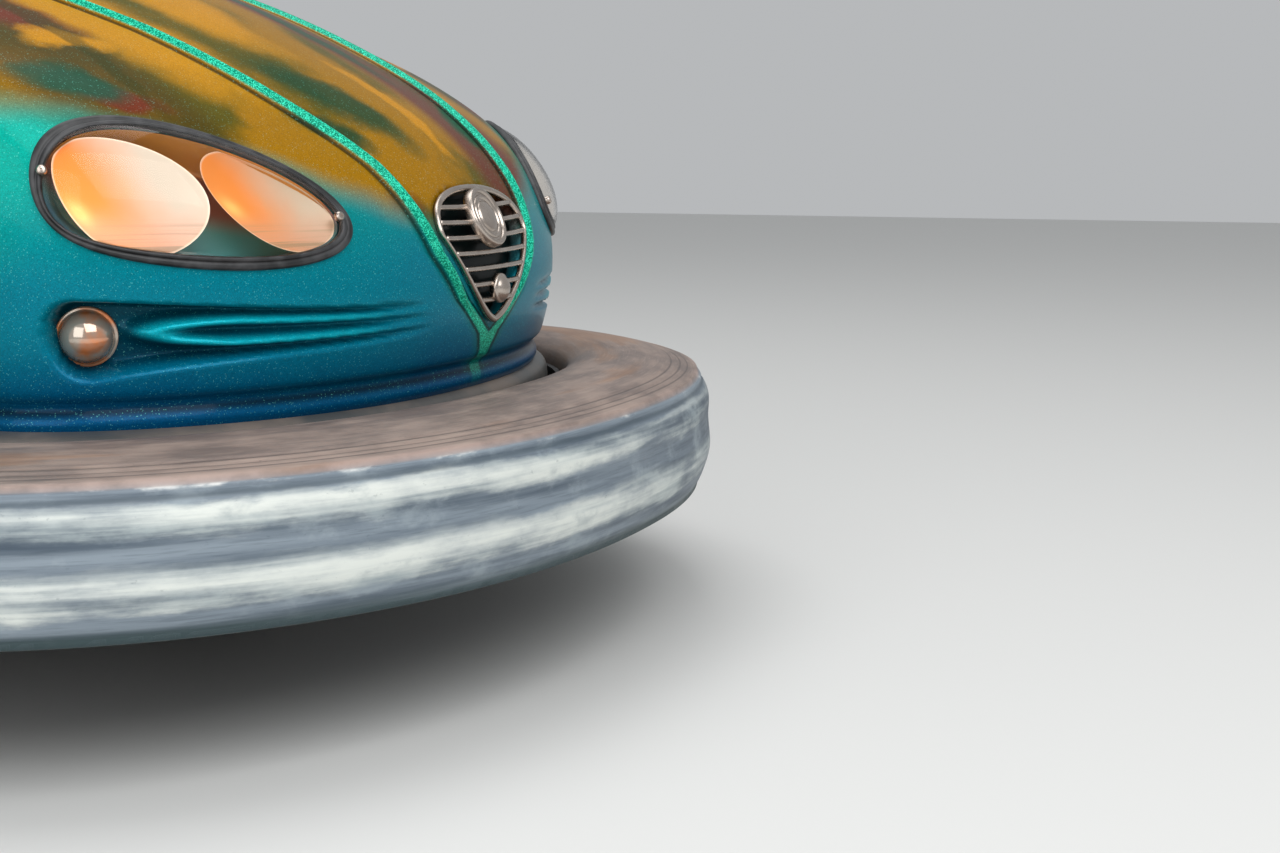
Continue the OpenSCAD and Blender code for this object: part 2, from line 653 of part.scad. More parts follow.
// Steering: the column's axis runs down from the wheel to the driving unit.
wheel_y = cockpit_front + 115;
wheel_z = 600;
jacket_r = 26;
shaft_r = 11;
module column_axis() {
    translate([0, wheel_y, wheel_z]) rotate([column_slope - 90, 0, 0]) children();
}
jacket_from = -300;
jacket_to = -70;
shaft_end = (wheel_y - drive_y - 22) / cos(column_slope);
module column_jacket() {
    color([0.13, 0.13, 0.14]) column_axis() difference() {
        translate([0, 0, jacket_from]) cylinder(r = jacket_r, h = jacket_to - jacket_from);
        translate([0, 0, jacket_from - 1]) cylinder(r = shaft_r + run_gap, h = jacket_to - jacket_from + 2);
    }
}
spokes = 3;
module steering_wheel() {
    color([0.09, 0.09, 0.10]) column_axis() {
        rotate_extrude() translate([wheel_r - grip_r, 0]) circle(r = grip_r, $fn = 24);
        translate([0, 0, -34]) cylinder(r = 40, h = 40);
        translate([0, 0, -shaft_end]) cylinder(r = shaft_r, h = shaft_end - 20);
        for (k = [0 : spokes - 1]) rotate([0, 0, 90 + k * 360 / spokes])
            translate([0, -12, -6]) cube([wheel_r - grip_r, 24, 8]);
    }
}

// Driving unit: a kingpin and fork that turn under the bridge, the motor on one arm
// and the rubber wheel between the arms.
arm_gap = 7;
arm_t = 12;
fork_plate = 12;
axle_r = 14;
king_len = 66;
module drive_fork() {
    top = bridge_z - 6;
    arm_x = drive_w / 2 + arm_gap;
    color([0.24, 0.24, 0.25]) translate([0, drive_y, 0]) {
        translate([0, 0, top - fork_plate]) cylinder(r = drive_r - 20, h = fork_plate);
        translate([0, 0, top - 1]) cylinder(r = king_r, h = king_len);
        for (s = [-1, 1]) difference() {
            translate([s > 0 ? arm_x : -arm_x - arm_t, -32, drive_r - 30])
                cube([arm_t, 64, top - drive_r + 30 - fork_plate / 2]);
            translate([s > 0 ? arm_x - 1 : -arm_x - arm_t - 1, 0, drive_r]) rotate([0, 90, 0])
                cylinder(r = axle_r + run_gap, h = arm_t + 2);
        }
    }
}
motor_w = 90;
motor_h = 130;
module drive_motor() {
    x = drive_w / 2 + arm_gap + arm_t + eps;
    color([0.30, 0.33, 0.36]) translate([x, drive_y - 60, drive_r - 52])
        difference() {
            cube([motor_w, 120, motor_h]);
            translate([-1, 60, 52]) rotate([0, 90, 0]) cylinder(r = axle_r + 3, h = 20);
        }
}
module drive_wheel() {
    arm_x = drive_w / 2 + arm_gap;
    color([0.10, 0.10, 0.10]) translate([0, drive_y, drive_r]) rotate([0, 90, 0])
        translate([0, 0, -drive_w / 2]) {
            rotate_extrude() polygon([[20, 0], [drive_r - 10, 0], [drive_r, 10], [drive_r, drive_w - 10],
                [drive_r - 10, drive_w], [20, drive_w]]);
            translate([0, 0, -arm_gap - arm_t - 4])
                cylinder(r = axle_r, h = drive_w + 2 * arm_gap + 2 * arm_t + 8);
            cylinder(r = 21, h = drive_w);
        }
}

// Rear wheels on stub axles in welded brackets.
stub_r = 10;
bracket_t = 8;
bracket_gap = 6;
module rear_bracket(s) {
    x0 = s * rear_track / 2;
    inner = rear_w / 2 + bracket_gap;
    color([0.20, 0.20, 0.21]) translate([x0, rear_y, 0]) {
        difference() {
            union() {
                for (k = [-1, 1])
                    translate([k > 0 ? inner : -inner - bracket_t, -26, rear_r - 18])
                        cube([bracket_t, 52, frame_top - rear_r + 18 - eps]);
            }
            translate([-60, 0, rear_r]) rotate([0, 90, 0]) cylinder(r = stub_r + run_gap, h = 120);
        }
    }
}
module rear_wheel(s) {
    inner = rear_w / 2 + bracket_gap;
    color([0.10, 0.10, 0.10]) translate([s * rear_track / 2, rear_y, rear_r]) rotate([0, 90, 0]) {
        translate([0, 0, -rear_w / 2]) rotate_extrude()
            polygon([[9, 0], [rear_r - 8, 0], [rear_r, 8], [rear_r, rear_w - 8], [rear_r - 8, rear_w], [9, rear_w]]);
        translate([0, 0, -inner - bracket_t - 3]) cylinder(r = stub_r, h = 2 * (inner + bracket_t + 3));
    }
}

// Pole: a socket on the floor behind the seat, a tube and a sprung contact bow.
socket_r = pole_r + 8;
socket_top = back_h + 30;
module pole_socket() {
    z0 = floor_top + eps;
    color([0.16, 0.16, 0.17]) translate([0, pole_y, 0]) difference() {
        union() {
            translate([0, 0, z0]) cylinder(r = socket_r, h = socket_top - z0);
            translate([0, 0, z0]) cylinder(r = 60, h = 10);
        }
        translate([0, 0, z0 + 30]) cylinder(r = pole_r + 0.1, h = socket_top);
    }
}
bow_len = 420;
bow_w = 40;
bow_drop = 110;
strut_drop = 84;
module pole() {
    z0 = frame_top + floor_t + eps + 30;
    color([0.55, 0.56, 0.57]) translate([0, pole_y, z0])
        cylinder(r = pole_r, h = pole_h - bow_drop - z0);
}
bow_t = 4;
bow_span = 40;
bow_strut_at = 16;
module contact_bow() {
    r = bow_len * 0.62;
    foot = pole_h - strut_drop;
    reach_y = (r - bow_t / 2) * sin(bow_strut_at);
    reach_z = pole_h - r + (r - bow_t / 2) * cos(bow_strut_at) - foot;
    color([0.60, 0.48, 0.30]) translate([0, pole_y, 0]) {
        translate([0, 0, pole_h - bow_drop + eps]) cylinder(r = pole_r + 4, h = 30);
        translate([-bow_w / 2, 0, pole_h - r]) rotate([90, 0, 90]) linear_extrude(bow_w) polygon(concat(
            [for (k = [-12 : 12]) let (t = k * bow_span / 12) [r * sin(t), r * cos(t)]],
            [for (k = [12 : -1 : -12]) let (t = k * bow_span / 12) [(r - bow_t) * sin(t), (r - bow_t) * cos(t)]]));
        for (s = [-1, 1]) translate([0, 0, foot]) rotate([-s * atan2(reach_y, reach_z), 0, 0])
            cylinder(r = 5, h = norm([reach_y, reach_z]));
    }
}

module mirrored(side) {
    if (side > 0) children();
    else mirror([1, 0, 0]) children();
}

bumper_ring();
ring_rim();
chassis_frame();
floor_plate();
drive_bridge();
body_front();
body_rear();
cockpit_liner();
dash_panel();
cockpit_trim();
headlamp_bowl();  // headlamp_bowl_left
mirrored(-1) headlamp_bowl();  // headlamp_bowl_right
headlamp_reflectors();  // headlamp_reflectors_left
mirrored(-1) headlamp_reflectors();  // headlamp_reflectors_right
headlamp_seal();  // headlamp_seal_left
mirrored(-1) headlamp_seal();  // headlamp_seal_right
headlamp_cover();  // headlamp_cover_left
mirrored(-1) headlamp_cover();  // headlamp_cover_right
fog_lamp();  // fog_lamp_left
mirrored(-1) fog_lamp();  // fog_lamp_right
grille();
grille_medallion();
grille_boss();
mirrored(-1) tail_lamp();  // tail_lamp_left
tail_lamp();  // tail_lamp_right
seat_box();
seat_cushion();
seat_back_cushion();
pedal();
column_jacket();
steering_wheel();
drive_fork();
drive_motor();
drive_wheel();
rear_bracket(1);  // rear_bracket_left
rear_bracket(-1);  // rear_bracket_right
rear_wheel(1);  // rear_wheel_left
rear_wheel(-1);  // rear_wheel_right
pole_socket();
pole();
contact_bow();
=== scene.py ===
import math

import bmesh
import bpy
import numpy as np
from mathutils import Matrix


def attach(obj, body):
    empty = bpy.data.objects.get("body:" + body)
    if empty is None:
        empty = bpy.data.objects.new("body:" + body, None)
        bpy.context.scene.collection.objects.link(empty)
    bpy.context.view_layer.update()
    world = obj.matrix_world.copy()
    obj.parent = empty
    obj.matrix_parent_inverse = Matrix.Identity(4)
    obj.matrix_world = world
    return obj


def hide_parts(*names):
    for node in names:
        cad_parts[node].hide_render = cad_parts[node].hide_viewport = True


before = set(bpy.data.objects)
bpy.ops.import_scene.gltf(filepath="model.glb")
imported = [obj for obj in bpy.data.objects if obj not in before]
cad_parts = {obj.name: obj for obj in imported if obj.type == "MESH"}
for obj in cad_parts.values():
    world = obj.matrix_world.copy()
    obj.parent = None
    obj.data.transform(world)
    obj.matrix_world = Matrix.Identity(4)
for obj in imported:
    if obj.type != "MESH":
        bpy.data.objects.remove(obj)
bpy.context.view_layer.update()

# Camera: it stands to the right of the nose, a little above the ring, and looks across
# the headlamp and the grille.
heading, dip = -69.2, 8.5
lens = bpy.data.cameras.new("camera")
lens.lens = 55.3
lens.sensor_width = 36
camera = bpy.data.objects.new("camera", lens)
camera.location = (-1.559, -1.526, 0.455)
camera.rotation_euler = (math.radians(90 - dip), 0, math.radians(heading))
bpy.context.scene.collection.objects.link(camera)
bpy.context.scene.camera = camera


# Frame and floor: square steel tubes welded inside a rolled rim, with a bridge over the
# driving unit and a bare chequered plate on top. Tubes, rim and bridge are brushed with
# black paint, which is chipped and rusty.
class Wire:
    """A socket of a finish; arithmetic on it adds Math nodes."""

    def __init__(self, finish, socket):
        self.finish, self.socket = finish, socket

    def maths(self, operation, *others):
        return self.finish.add("Math", {"operation": operation}, dict(enumerate((self,) + others)))

    def __add__(self, other):
        return self.maths("ADD", other)

    def __sub__(self, other):
        return self.maths("SUBTRACT", other)

    def __rsub__(self, other):
        return self.finish.add("Math", {"operation": "SUBTRACT"}, {0: other, 1: self})

    def __mul__(self, other):
        return self.maths("MULTIPLY", other)

    __radd__, __rmul__ = __add__, __mul__

    def ramp(self, low, high):
        """0 below low, 1 above high, eased between."""
        return self.finish.add("MapRange", {"interpolation_type": "SMOOTHSTEP"},
                               {"Value": self, "From Min": low, "From Max": high})

    def near(self, centre, width):
        """1 at the centre, easing to 0 at the width on both sides."""
        return 1 - (self - centre).maths("ABSOLUTE").ramp(0.0, width)


def tint(red, green, blue):
    """A screen colour from 0 to 255 as linear light."""
    light = [((c / 255 + 0.055) / 1.055) ** 2.4 if c > 10 else c / 3295 for c in (red, green, blue)]
    return (*light, 1)


class Finish:
    """A procedural material: add makes a node, look sets or links the shader's sockets."""

    def __init__(self, name, **look):
        self.material = bpy.data.materials.new(name)
        self.material.use_nodes = True
        self.tree = self.material.node_tree
        self.shader = self.tree.nodes["Principled BSDF"]
        self.look(**look)

    def add(self, kind, settings=None, values=None, out=0):
        node = self.tree.nodes.new("ShaderNode" + kind)
        for key, value in (settings or {}).items():
            setattr(node, key, value)
        for key, value in (values or {}).items():
            self.feed(node.inputs[key], value)
        return Wire(self, node.outputs[out])

    def feed(self, socket, value):
        if isinstance(value, Wire):
            self.tree.links.new(value.socket, socket)
        else:
            socket.default_value = value

    def look(self, **sockets):
        for name, value in sockets.items():
            self.feed(self.shader.inputs[name.replace("_", " ").title().replace("Ior", "IOR")], value)

    def bump(self, height, strength, distance=0.001):
        self.look(normal=self.add("Bump", {}, {"Height": height, "Strength": strength, "Distance": distance}))

    def mix(self, factor, first, second, blend="MIX"):
        """One colour laid over another by a factor."""
        return self.add("Mix", {"data_type": "RGBA", "blend_type": blend, "clamp_factor": True},
                        {0: factor, 6: first, 7: second}, out=2)

    def layers(self, colour, *coats):
        """Colours laid over the first in turn, each with the factor before it."""
        for factor, over in coats:
            colour = self.mix(factor, colour, over)
        return colour

    def two_tone(self, cloud, low, high, first, second, rough, rougher):
        """Two colours mixed by a cloud's ramp, and a roughness that grows with the cloud."""
        self.look(base_color=self.mix(cloud.ramp(low, high), first, second),
                  roughness=rough + cloud * rougher)

    def mark(self, name, vector=False):
        return self.add("Attribute", {"attribute_name": name}, out=1 if vector else 2)

    def here(self):
        return self.add("TexCoord", out=3)

    def axes(self):
        """The three Object coordinates, each by itself."""
        spot = self.here()
        return [self.add("SeparateXYZ", {}, {0: spot}, out=axis) for axis in range(3)]

    def noise(self, scale, detail=3, rough=0.5, at=None, way=None):
        """Clouds on the Object coordinates or on at, which are first multiplied by way."""
        at = at or self.here()
        if way:
            at = self.add("VectorMath", {"operation": "MULTIPLY"}, {0: at, 1: way})
        return self.add("TexNoise", {}, {"Vector": at, "Scale": scale, "Detail": detail, "Roughness": rough})

    def cells(self, scale):
        """A net of cells: the distance from the lines between them."""
        return self.add("TexVoronoi", {"feature": "DISTANCE_TO_EDGE"},
                        {"Vector": self.here(), "Scale": scale})

    def flakes(self, scale):
        """Cells that each have one chance value from 0 to 1."""
        colour = self.add("TexVoronoi", {}, {"Vector": self.here(), "Scale": scale}, out=1)
        return self.add("SeparateColor", {}, {0: colour})


def coat(finish, *names):
    """The finish on solids that keep their own shape."""
    for name in names:
        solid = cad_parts[name].data
        solid.materials.clear()
        solid.materials.append(finish.material)


def painted_steel(name, paint, worn, rust):
    """Brushed paint that is thinner in places, with rust where it has gone."""
    steel = Finish(name, metallic=0.2)
    bare, fleck = steel.noise(9.0, 5, 0.6), steel.noise(120.0)
    rusty = (bare + fleck * 0.3).ramp(0.74, 0.80)
    steel.look(base_color=steel.layers(paint, (fleck.ramp(0.35, 0.65), worn), (rusty, rust)),
               roughness=0.42 + bare * 0.35)
    steel.bump(fleck + bare, 0.25, 0.0008)
    return steel


black_paint = painted_steel("chassis_paint", tint(34, 35, 37), tint(52, 52, 53), tint(104, 66, 44))
coat(black_paint, "ring_rim", "chassis_frame", "drive_bridge", "rear_bracket_left", "rear_bracket_right")

# The plate's lugs are slim ovals, one to each square of a diagonal grid, and they lie one
# way in every second square and the other way in the rest.
plate = Finish("chequered_plate", metallic=0.75)
lugs_per_metre, lug_long, lug_slim = 38.0, 5.7, 50.0
x, y, _ = plate.axes()
along, across = (x + y) * lugs_per_metre, (x - y) * lugs_per_metre
turn_way = (along.maths("FLOOR") + across.maths("FLOOR")).maths("FLOORED_MODULO", 2.0)
u, v = along.maths("FRACT") - 0.5, across.maths("FRACT") - 0.5
u, v = u * u, v * v
one_way, other_way = u * lug_long + v * lug_slim, u * lug_slim + v * lug_long
lug = 1 - (one_way * (1 - turn_way) + other_way * turn_way).ramp(0.55, 1.15)
scuffs = plate.noise(26.0, 5, 0.65, way=(1, 5, 1))
steel_colour = plate.layers(tint(74, 75, 76), (scuffs.ramp(0.35, 0.65), tint(112, 111, 108)),
                            (lug * scuffs.ramp(0.3, 0.6), tint(176, 174, 170)))
plate.look(base_color=steel_colour, roughness=0.3 + scuffs * 0.35)
plate.bump(lug + scuffs * 0.1, 0.9, 0.0016)
coat(plate, "floor_plate")


# Driving unit: a solid rubber wheel in a steel fork that turns under the bridge, driven by
# a ribbed motor bolted to one arm.
def surface(name, points, marks=None, cut=None, flip=False, sharp=None, wall=None):
    """A mesh from a grid of points in millimetres. Four neighbouring points make a face,
    cut leaves faces out, marks are attributes, and points that meet are merged. A closed
    mesh is turned to face outwards, and flip turns an open one."""
    rows, cols = points.shape[:2]
    first = (np.arange(rows - 1)[:, None] * cols + np.arange(cols - 1)[None, :])
    faces = np.stack([first, first + 1, first + cols + 1, first + cols], -1)
    faces = faces[~cut] if cut is not None else faces.reshape(-1, 4)
    if flip:
        faces = faces[:, ::-1]
    mesh = bpy.data.meshes.new(name)
    mesh.from_pydata((points.reshape(-1, 3) / 1000).tolist(), [], faces.tolist())
    for mark, values in (marks or {}).items():
        kind, field = ("FLOAT_VECTOR", "vector") if values.ndim == 3 else ("FLOAT", "value")
        layer = mesh.attributes.new(mark, kind, "POINT")
        layer.data.foreach_set(field, np.ascontiguousarray(values, dtype=np.float32).ravel())
    welded = bmesh.new()
    welded.from_mesh(mesh)
    bmesh.ops.remove_doubles(welded, verts=welded.verts, dist=2e-6)
    bmesh.ops.delete(welded, geom=[v for v in welded.verts if not v.link_faces], context="VERTS")
    if all(len(edge.link_faces) == 2 for edge in welded.edges):
        bmesh.ops.recalc_face_normals(welded, faces=welded.faces)
    welded.to_mesh(mesh)
    welded.free()
    mesh.polygons.foreach_set("use_smooth", np.ones(len(mesh.polygons), bool))
    if sharp:
        mesh.set_sharp_from_angle(angle=math.radians(sharp))
    piece = bpy.data.objects.new(name, mesh)
    bpy.context.scene.collection.objects.link(piece)
    if wall:
        solid = piece.modifiers.new("wall", "SOLIDIFY")
        solid.thickness, solid.offset = wall / 1000, -1
    return piece


def dress(piece, finish, body, slot, *nodes):
    """The finish on a piece, the body it rides on and the solids it stands for; the slot is not used."""
    piece.data.materials.clear()
    piece.data.materials.append(finish.material)
    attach(piece, body)
    if nodes:
        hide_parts(*nodes)


def rounded(corners, spacing, rounds=3, closed=True):
    """A profile with its corners cut off in rounds, then spaced evenly, and the distance of
    each point along it."""
    line = np.asarray(corners, float)
    for _ in range(rounds):
        after = np.roll(line, -1, 0) if closed else line[1:]
        before = line if closed else line[:-1]
        cut = np.stack([0.75 * before + 0.25 * after, 0.25 * before + 0.75 * after], 1).reshape(-1, 2)
        line = cut if closed else np.vstack([line[:1], cut, line[-1:]])
    line = np.vstack([line, line[:1]]) if closed else line
    run = np.concatenate([[0], np.cumsum(np.hypot(*np.diff(line, axis=0).T))])
    steps = np.linspace(0, run[-1], int(run[-1] / spacing) + 1)
    return np.stack([np.interp(steps, run, line[:, 0]), np.interp(steps, run, line[:, 1])], -1), steps


def spun(profile, centre, axis, steps=64):
    """Points of a profile turned about an axis: each pair is a radius and a distance along
    the axis from the centre."""
    axis = np.asarray(axis, float) / np.linalg.norm(axis)
    side = np.cross((0, 0, 1) if abs(axis[2]) < 0.9 else (0, 1, 0), axis)
    side /= np.linalg.norm(side)
    angle = np.linspace(0, 2 * np.pi, steps + 1)
    ring = np.cos(angle)[:, None] * side + np.sin(angle)[:, None] * np.cross(axis, side)
    radius, level = np.asarray(profile, float).T
    return np.asarray(centre, float) + radius[:, None, None] * ring + level[:, None, None] * axis


fork_paint = painted_steel("fork_paint", tint(58, 60, 62), tint(78, 79, 80), tint(112, 74, 50))
coat(fork_paint, "drive_fork")

tyre_rubber = Finish("tyre_rubber")
dust, grain = tyre_rubber.noise(22.0, 5, 0.6), tyre_rubber.noise(420.0)
tyre_rubber.two_tone(dust, 0.4, 0.7, tint(28, 28, 29), tint(74, 71, 68), 0.62, 0.25)
tyre_rubber.bump(grain + dust * 0.5, 0.35, 0.0006)
axle_steel = Finish("axle_steel", metallic=1.0)
smear = axle_steel.noise(40.0, 4, way=(1, 6, 6))
axle_steel.look(base_color=axle_steel.mix(smear, tint(120, 118, 116), tint(172, 170, 166)),
                roughness=0.22 + smear * 0.3)


def wheel(name, centre, radius, width, hub, axle, axle_reach):
    """A grooved tyre, a dished hub with five bolts and an axle, on the body and for the
    solid of that name. Each is a profile of radius and distance along X, mirrored to the
    other side and turned about X."""
    half = width / 2

    def turned(part, near, place, steps, finish, slot, *nodes, spacing=None, sharp=None):
        profile = near + [(out, -x) for out, x in near[::-1]]
        if spacing:
            profile, _ = rounded(profile, spacing, 2)
        piece = surface(f"{name}_{part}", spun(profile, place, (1, 0, 0), steps), sharp=sharp)
        dress(piece, finish, name, slot, *nodes)

    turned("tyre", [(hub, -half + 3), (hub + 4, -half), (radius - 10, -half), (radius - 2, -half * 0.86),
                    (radius, -half * 0.72), (radius, -half * 0.42), (radius - 4, -half * 0.38),
                    (radius - 4, -half * 0.22), (radius, -half * 0.18)],
           centre, 96, tyre_rubber, "tyre_rubber", name, spacing=1.6)
    turned("hub", [(axle + 1, -half + 6), (axle + 10, -half + 6), (axle + 14, -8), (hub - 10, -8),
                   (hub + 1, -half + 7)], centre, 72, fork_paint, "frame_steel", spacing=2.0)
    turned("axle", [(0, -axle_reach), (axle - 2, -axle_reach), (axle, -axle_reach + 2)], centre, 40,
           axle_steel, "frame_steel", sharp=35)
    bolt_circle = (axle + hub) / 2 + 2
    for number, angle in enumerate(np.radians(np.arange(5) * 72 + 18)):
        seat = np.array(centre) + (0, bolt_circle * math.cos(angle), bolt_circle * math.sin(angle))
        turned(f"bolt_{number + 1}", [(0, -13), (4, -13), (5, -12)], seat, 6, axle_steel, "frame_steel",
               sharp=30)


wheel("drive_wheel", (0, -500, 120), radius=120, width=70, hub=74, axle=14, axle_reach=58)


def signed_power(value, power):
    """The power of a value's size, with the value's sign."""
    return np.sign(value) * np.abs(value) ** power


# The motor's case runs along X from case_x. Its section is a squared oval that a clipped
# cosine cuts into 24 cooling ribs. Rows: distance along X, how far the section has shrunk
# there, and 0 where it closes to a point.
case_x, case_y, case_z, half_y, half_z, squareness = 54.3, -500, 133, 57, 62, 2 / 4.5
case_rows = np.array([(0, 26, 0), (0, 26, 1), (2, 8, 1), (5, 3, 1), (10, 0, 1),
                      (80, 0, 1), (85, 3, 1), (88, 8, 1), (90, 26, 1), (90, 26, 0)], float)
along_case, shrunk, is_open = case_rows.T[:, :, None]
around = np.linspace(0, 2 * np.pi, 385)[None, :]
cooling = 2.6 * np.clip(3 * np.cos(24 * around), -1, 1) * (shrunk == 0)
case = np.zeros((len(case_rows), 385, 3))
case[..., 0] = case_x + along_case
case[..., 1] = case_y + is_open * (half_y - shrunk + cooling) * signed_power(np.cos(around), squareness)
case[..., 2] = case_z + is_open * (half_z - shrunk + cooling) * signed_power(np.sin(around), squareness)
motor_paint = painted_steel("motor_paint", tint(66, 78, 88), tint(88, 98, 106), tint(110, 82, 60))
dress(surface("drive_motor_ribbed", case, sharp=40), motor_paint, "drive_unit", "motor_paint", "drive_motor")


# Rear wheels: two smaller solid rubber tyres with the same hubs. Each turns on a stub axle
# between two brackets that are welded under the frame.
for side, way in (("left", 1), ("right", -1)):
    wheel(f"rear_wheel_{side}", (way * 310, 500, 85), radius=85, width=48, hub=50, axle=10, axle_reach=41)


# Bumper ring: one moulded rubber hoop round the whole car, with two swollen bands on its
# face and fine turned grooves on its top. Years of knocks have left pale scuffs on the
# face and a brown bloom on the top. A bright band along the top edge is a painted
# highlight, and painted shade darkens the groove below it and the underside of the face.
def oval(turn, half_width, nose, tail, nose_depth, tail_depth):
    """A squared oval in plan. A third of the turn, about 90 degrees, is the nose, a power
    curve nose_depth deep; a third about 270 is the tail; straight sides join them."""
    turn = np.asarray(turn, float)
    q = turn - 360 * np.floor((turn + 30) / 360)
    nose_end, tail_end = nose + nose_depth, tail - tail_depth
    front, back = np.radians((q - 30) * 1.5), np.radians((q - 210) * 1.5)
    front_sin, back_sin = np.maximum(0, np.sin(front)), np.maximum(0, np.sin(back))
    zones = [q < 30, q < 150, q < 210]
    x_front = half_width * signed_power(np.cos(front), 2 / 2.2)
    x_back = -half_width * signed_power(np.cos(back), 2 / 2.8)
    y_left = tail_end + (nose_end - tail_end) * (q + 30) / 60
    y_front = nose_end - nose_depth * front_sin ** (2 / 1.77)
    y_right = nose_end + (tail_end - nose_end) * (q - 150) / 60
    y_back = tail_end + tail_depth * back_sin ** (2 / 2.4)
    x = np.select(zones, [half_width + 0 * q, x_front, -half_width + 0 * q], x_back)
    return x, np.select(zones, [y_left, y_front, y_right], y_back)


ring_half_wide, ring_half_long, nose_round, tail_round = 575, 950, 385, 400


def outline(turn, inset):
    """The ring's outer edge, moved in by inset."""
    return oval(turn, ring_half_wide - inset, inset - ring_half_long, ring_half_long - inset,
                nose_round - inset, tail_round - inset)


def swell(x, centre, width):
    """A smooth hump of height 1."""
    return np.exp(-((x - centre) / width) ** 2)


def hoop(name, profile, low, steps, marks=None):
    """A profile of [inset, height] pairs carried round the ring's outline."""
    turns = np.linspace(-90, 270, steps + 1)
    points = np.zeros((len(profile), len(turns), 3))
    points[..., 0], points[..., 1] = outline(turns[None, :], profile[:, 0][:, None])
    points[..., 2] = low + profile[:, 1][:, None]
    return surface(name, points, marks, flip=True)


ring_low, ring_h, ring_depth, ring_crown, ring_steps = 110, 117, 150, 14, 500
profile, profile_run = rounded([
    (20, 0), (5, 14), (0, ring_h * 0.42), (1, ring_h * 0.72), (6, ring_h - 8), (14, ring_h),
    (ring_depth * 0.42, ring_h + ring_crown * 0.75), (ring_depth * 0.76, ring_h + ring_crown),
    (ring_depth - 14, ring_h + ring_crown * 0.6), (ring_depth, ring_h - 6),
    (ring_depth, 16), (ring_depth - 16, 0)], 2.9)
way = np.gradient(profile, axis=0)
way /= np.linalg.norm(way, axis=1)[:, None]
out = np.stack([-way[:, 1], way[:, 0]], -1)
inset_of, height_of = profile.T
on_face = (inset_of < 12) * 1.0
on_top = (height_of > ring_h - 4) * 1.0
turned_lines = (24, 31, 40)
relief = on_face * (2.4 * swell(height_of, 90, 12) + 2.8 * swell(height_of, 42, 16) - 2.9)
relief -= on_face * 2.2 * swell(height_of, ring_h - 11, 2.6)
for line in turned_lines:
    relief -= on_top * 1.3 * swell(inset_of, line, 1.6)

# The scuffs follow the ring: their pattern lies on a cylinder as long round as the ring,
# by the distance round it and the distance along its profile.
edge_x, edge_y = outline(np.linspace(-90, 270, ring_steps + 1), 0)
run = np.concatenate([[0], np.cumsum(np.hypot(np.diff(edge_x), np.diff(edge_y)))])
circle, ring_radius = run / run[-1] * 2 * np.pi, run[-1] / 2000 / np.pi
shape = (len(profile), ring_steps + 1)
round_mark = np.zeros(shape + (3,))
round_mark[..., 0] = ring_radius * np.cos(circle)
round_mark[..., 1] = ring_radius * np.sin(circle)
round_mark[..., 2] = profile_run[:, None] / 1000
ring = hoop("bumper_ring_rubber", profile + out * relief[:, None], ring_low, ring_steps, {
    "round": round_mark, "height": np.broadcast_to(height_of[:, None] / 1000, shape),
    "inset": np.broadcast_to(inset_of[:, None] / 1000, shape)})

worn = Finish("ring_rubber_wear_and_painted_light")
place = worn.mark("round", vector=True)
height, inset = worn.mark("height"), worn.mark("inset")
streak = worn.noise(1.0, 5, 0.56, at=place, way=(2.4, 2.4, 60))
smear = worn.noise(1.0, 6, 0.62, at=place, way=(9, 9, 34))
hatch = worn.noise(1.0, 3, 0.6, at=place, way=(24, 24, 520))
fleck = worn.noise(1.0, 4, 0.65, at=place, way=(120, 120, 240))
smudge = worn.noise(1.0, 5, 0.6, at=place, way=(16, 16, 30))
rust_cloud = worn.noise(1.0, 4, 0.55, at=place, way=(3, 3, 22))
level = height + (smear - 0.5) * 0.030 + (streak - 0.5) * 0.010
upper = level.ramp(0.076, 0.086) * (1 - level.ramp(0.098, 0.105))
lower = level.ramp(0.024, 0.033) * (1 - level.ramp(0.052, 0.062))
rough_edge = (streak * 0.45 + smear * 0.35 + smudge * 0.25 + hatch * 0.06).ramp(0.42, 0.66)
slate = worn.layers(
    tint(66, 80, 94),
    (streak.ramp(0.3, 0.68), tint(128, 140, 150)),
    (hatch.ramp(0.50, 0.64) * 0.22, tint(44, 60, 72)),
    (smudge.ramp(0.52, 0.70) * 0.5, tint(158, 170, 176)))
chalk = worn.layers(
    tint(164, 176, 178),
    (streak.ramp(0.3, 0.68), tint(212, 216, 210)),
    (smudge.ramp(0.56, 0.72) * 0.45, tint(118, 134, 142)))
# Painted shade: the face is darker where it curves under at the bottom.
underside_shade = 1 - (height + (streak - 0.5) * 0.012).ramp(0.006, 0.020)
# Painted highlight: a bright band, in patches, along the top edge of the face.
edge_highlight = height.near(0.1125, 0.003) * (smudge * 0.6 + smear * 0.6).ramp(0.62, 0.74)
face = worn.layers(
    slate,
    ((upper + lower) * rough_edge, chalk),
    (fleck.ramp(0.64, 0.72) * 0.25, tint(70, 86, 96)),
    (underside_shade * 0.9, tint(38, 60, 62)),
    # Painted shade: a dark line in the groove under the top edge.
    (height.near(0.1055, 0.004) * 0.6, tint(52, 68, 78)),
    (edge_highlight * 0.8, tint(226, 226, 222)))
outer_edge = (1 - inset.ramp(0.013, 0.022)) * (smudge + streak * 0.4).ramp(0.55, 0.85)
bloom = worn.layers(
    tint(108, 94, 88),
    (smear.ramp(0.35, 0.65), tint(146, 128, 118)),
    (rust_cloud.ramp(0.52, 0.68) * 0.45, tint(152, 106, 66)),
    (streak.ramp(0.50, 0.68) * 0.35, tint(92, 82, 80)),
    (fleck.ramp(0.64, 0.74) * 0.3, tint(70, 60, 58)),
    (hatch.ramp(0.52, 0.66) * 0.18, tint(176, 158, 146)),
    *[(inset.near(line / 1000, 0.0014) * 0.6, tint(54, 46, 46)) for line in turned_lines],
    (outer_edge * 0.7, tint(180, 156, 146)))
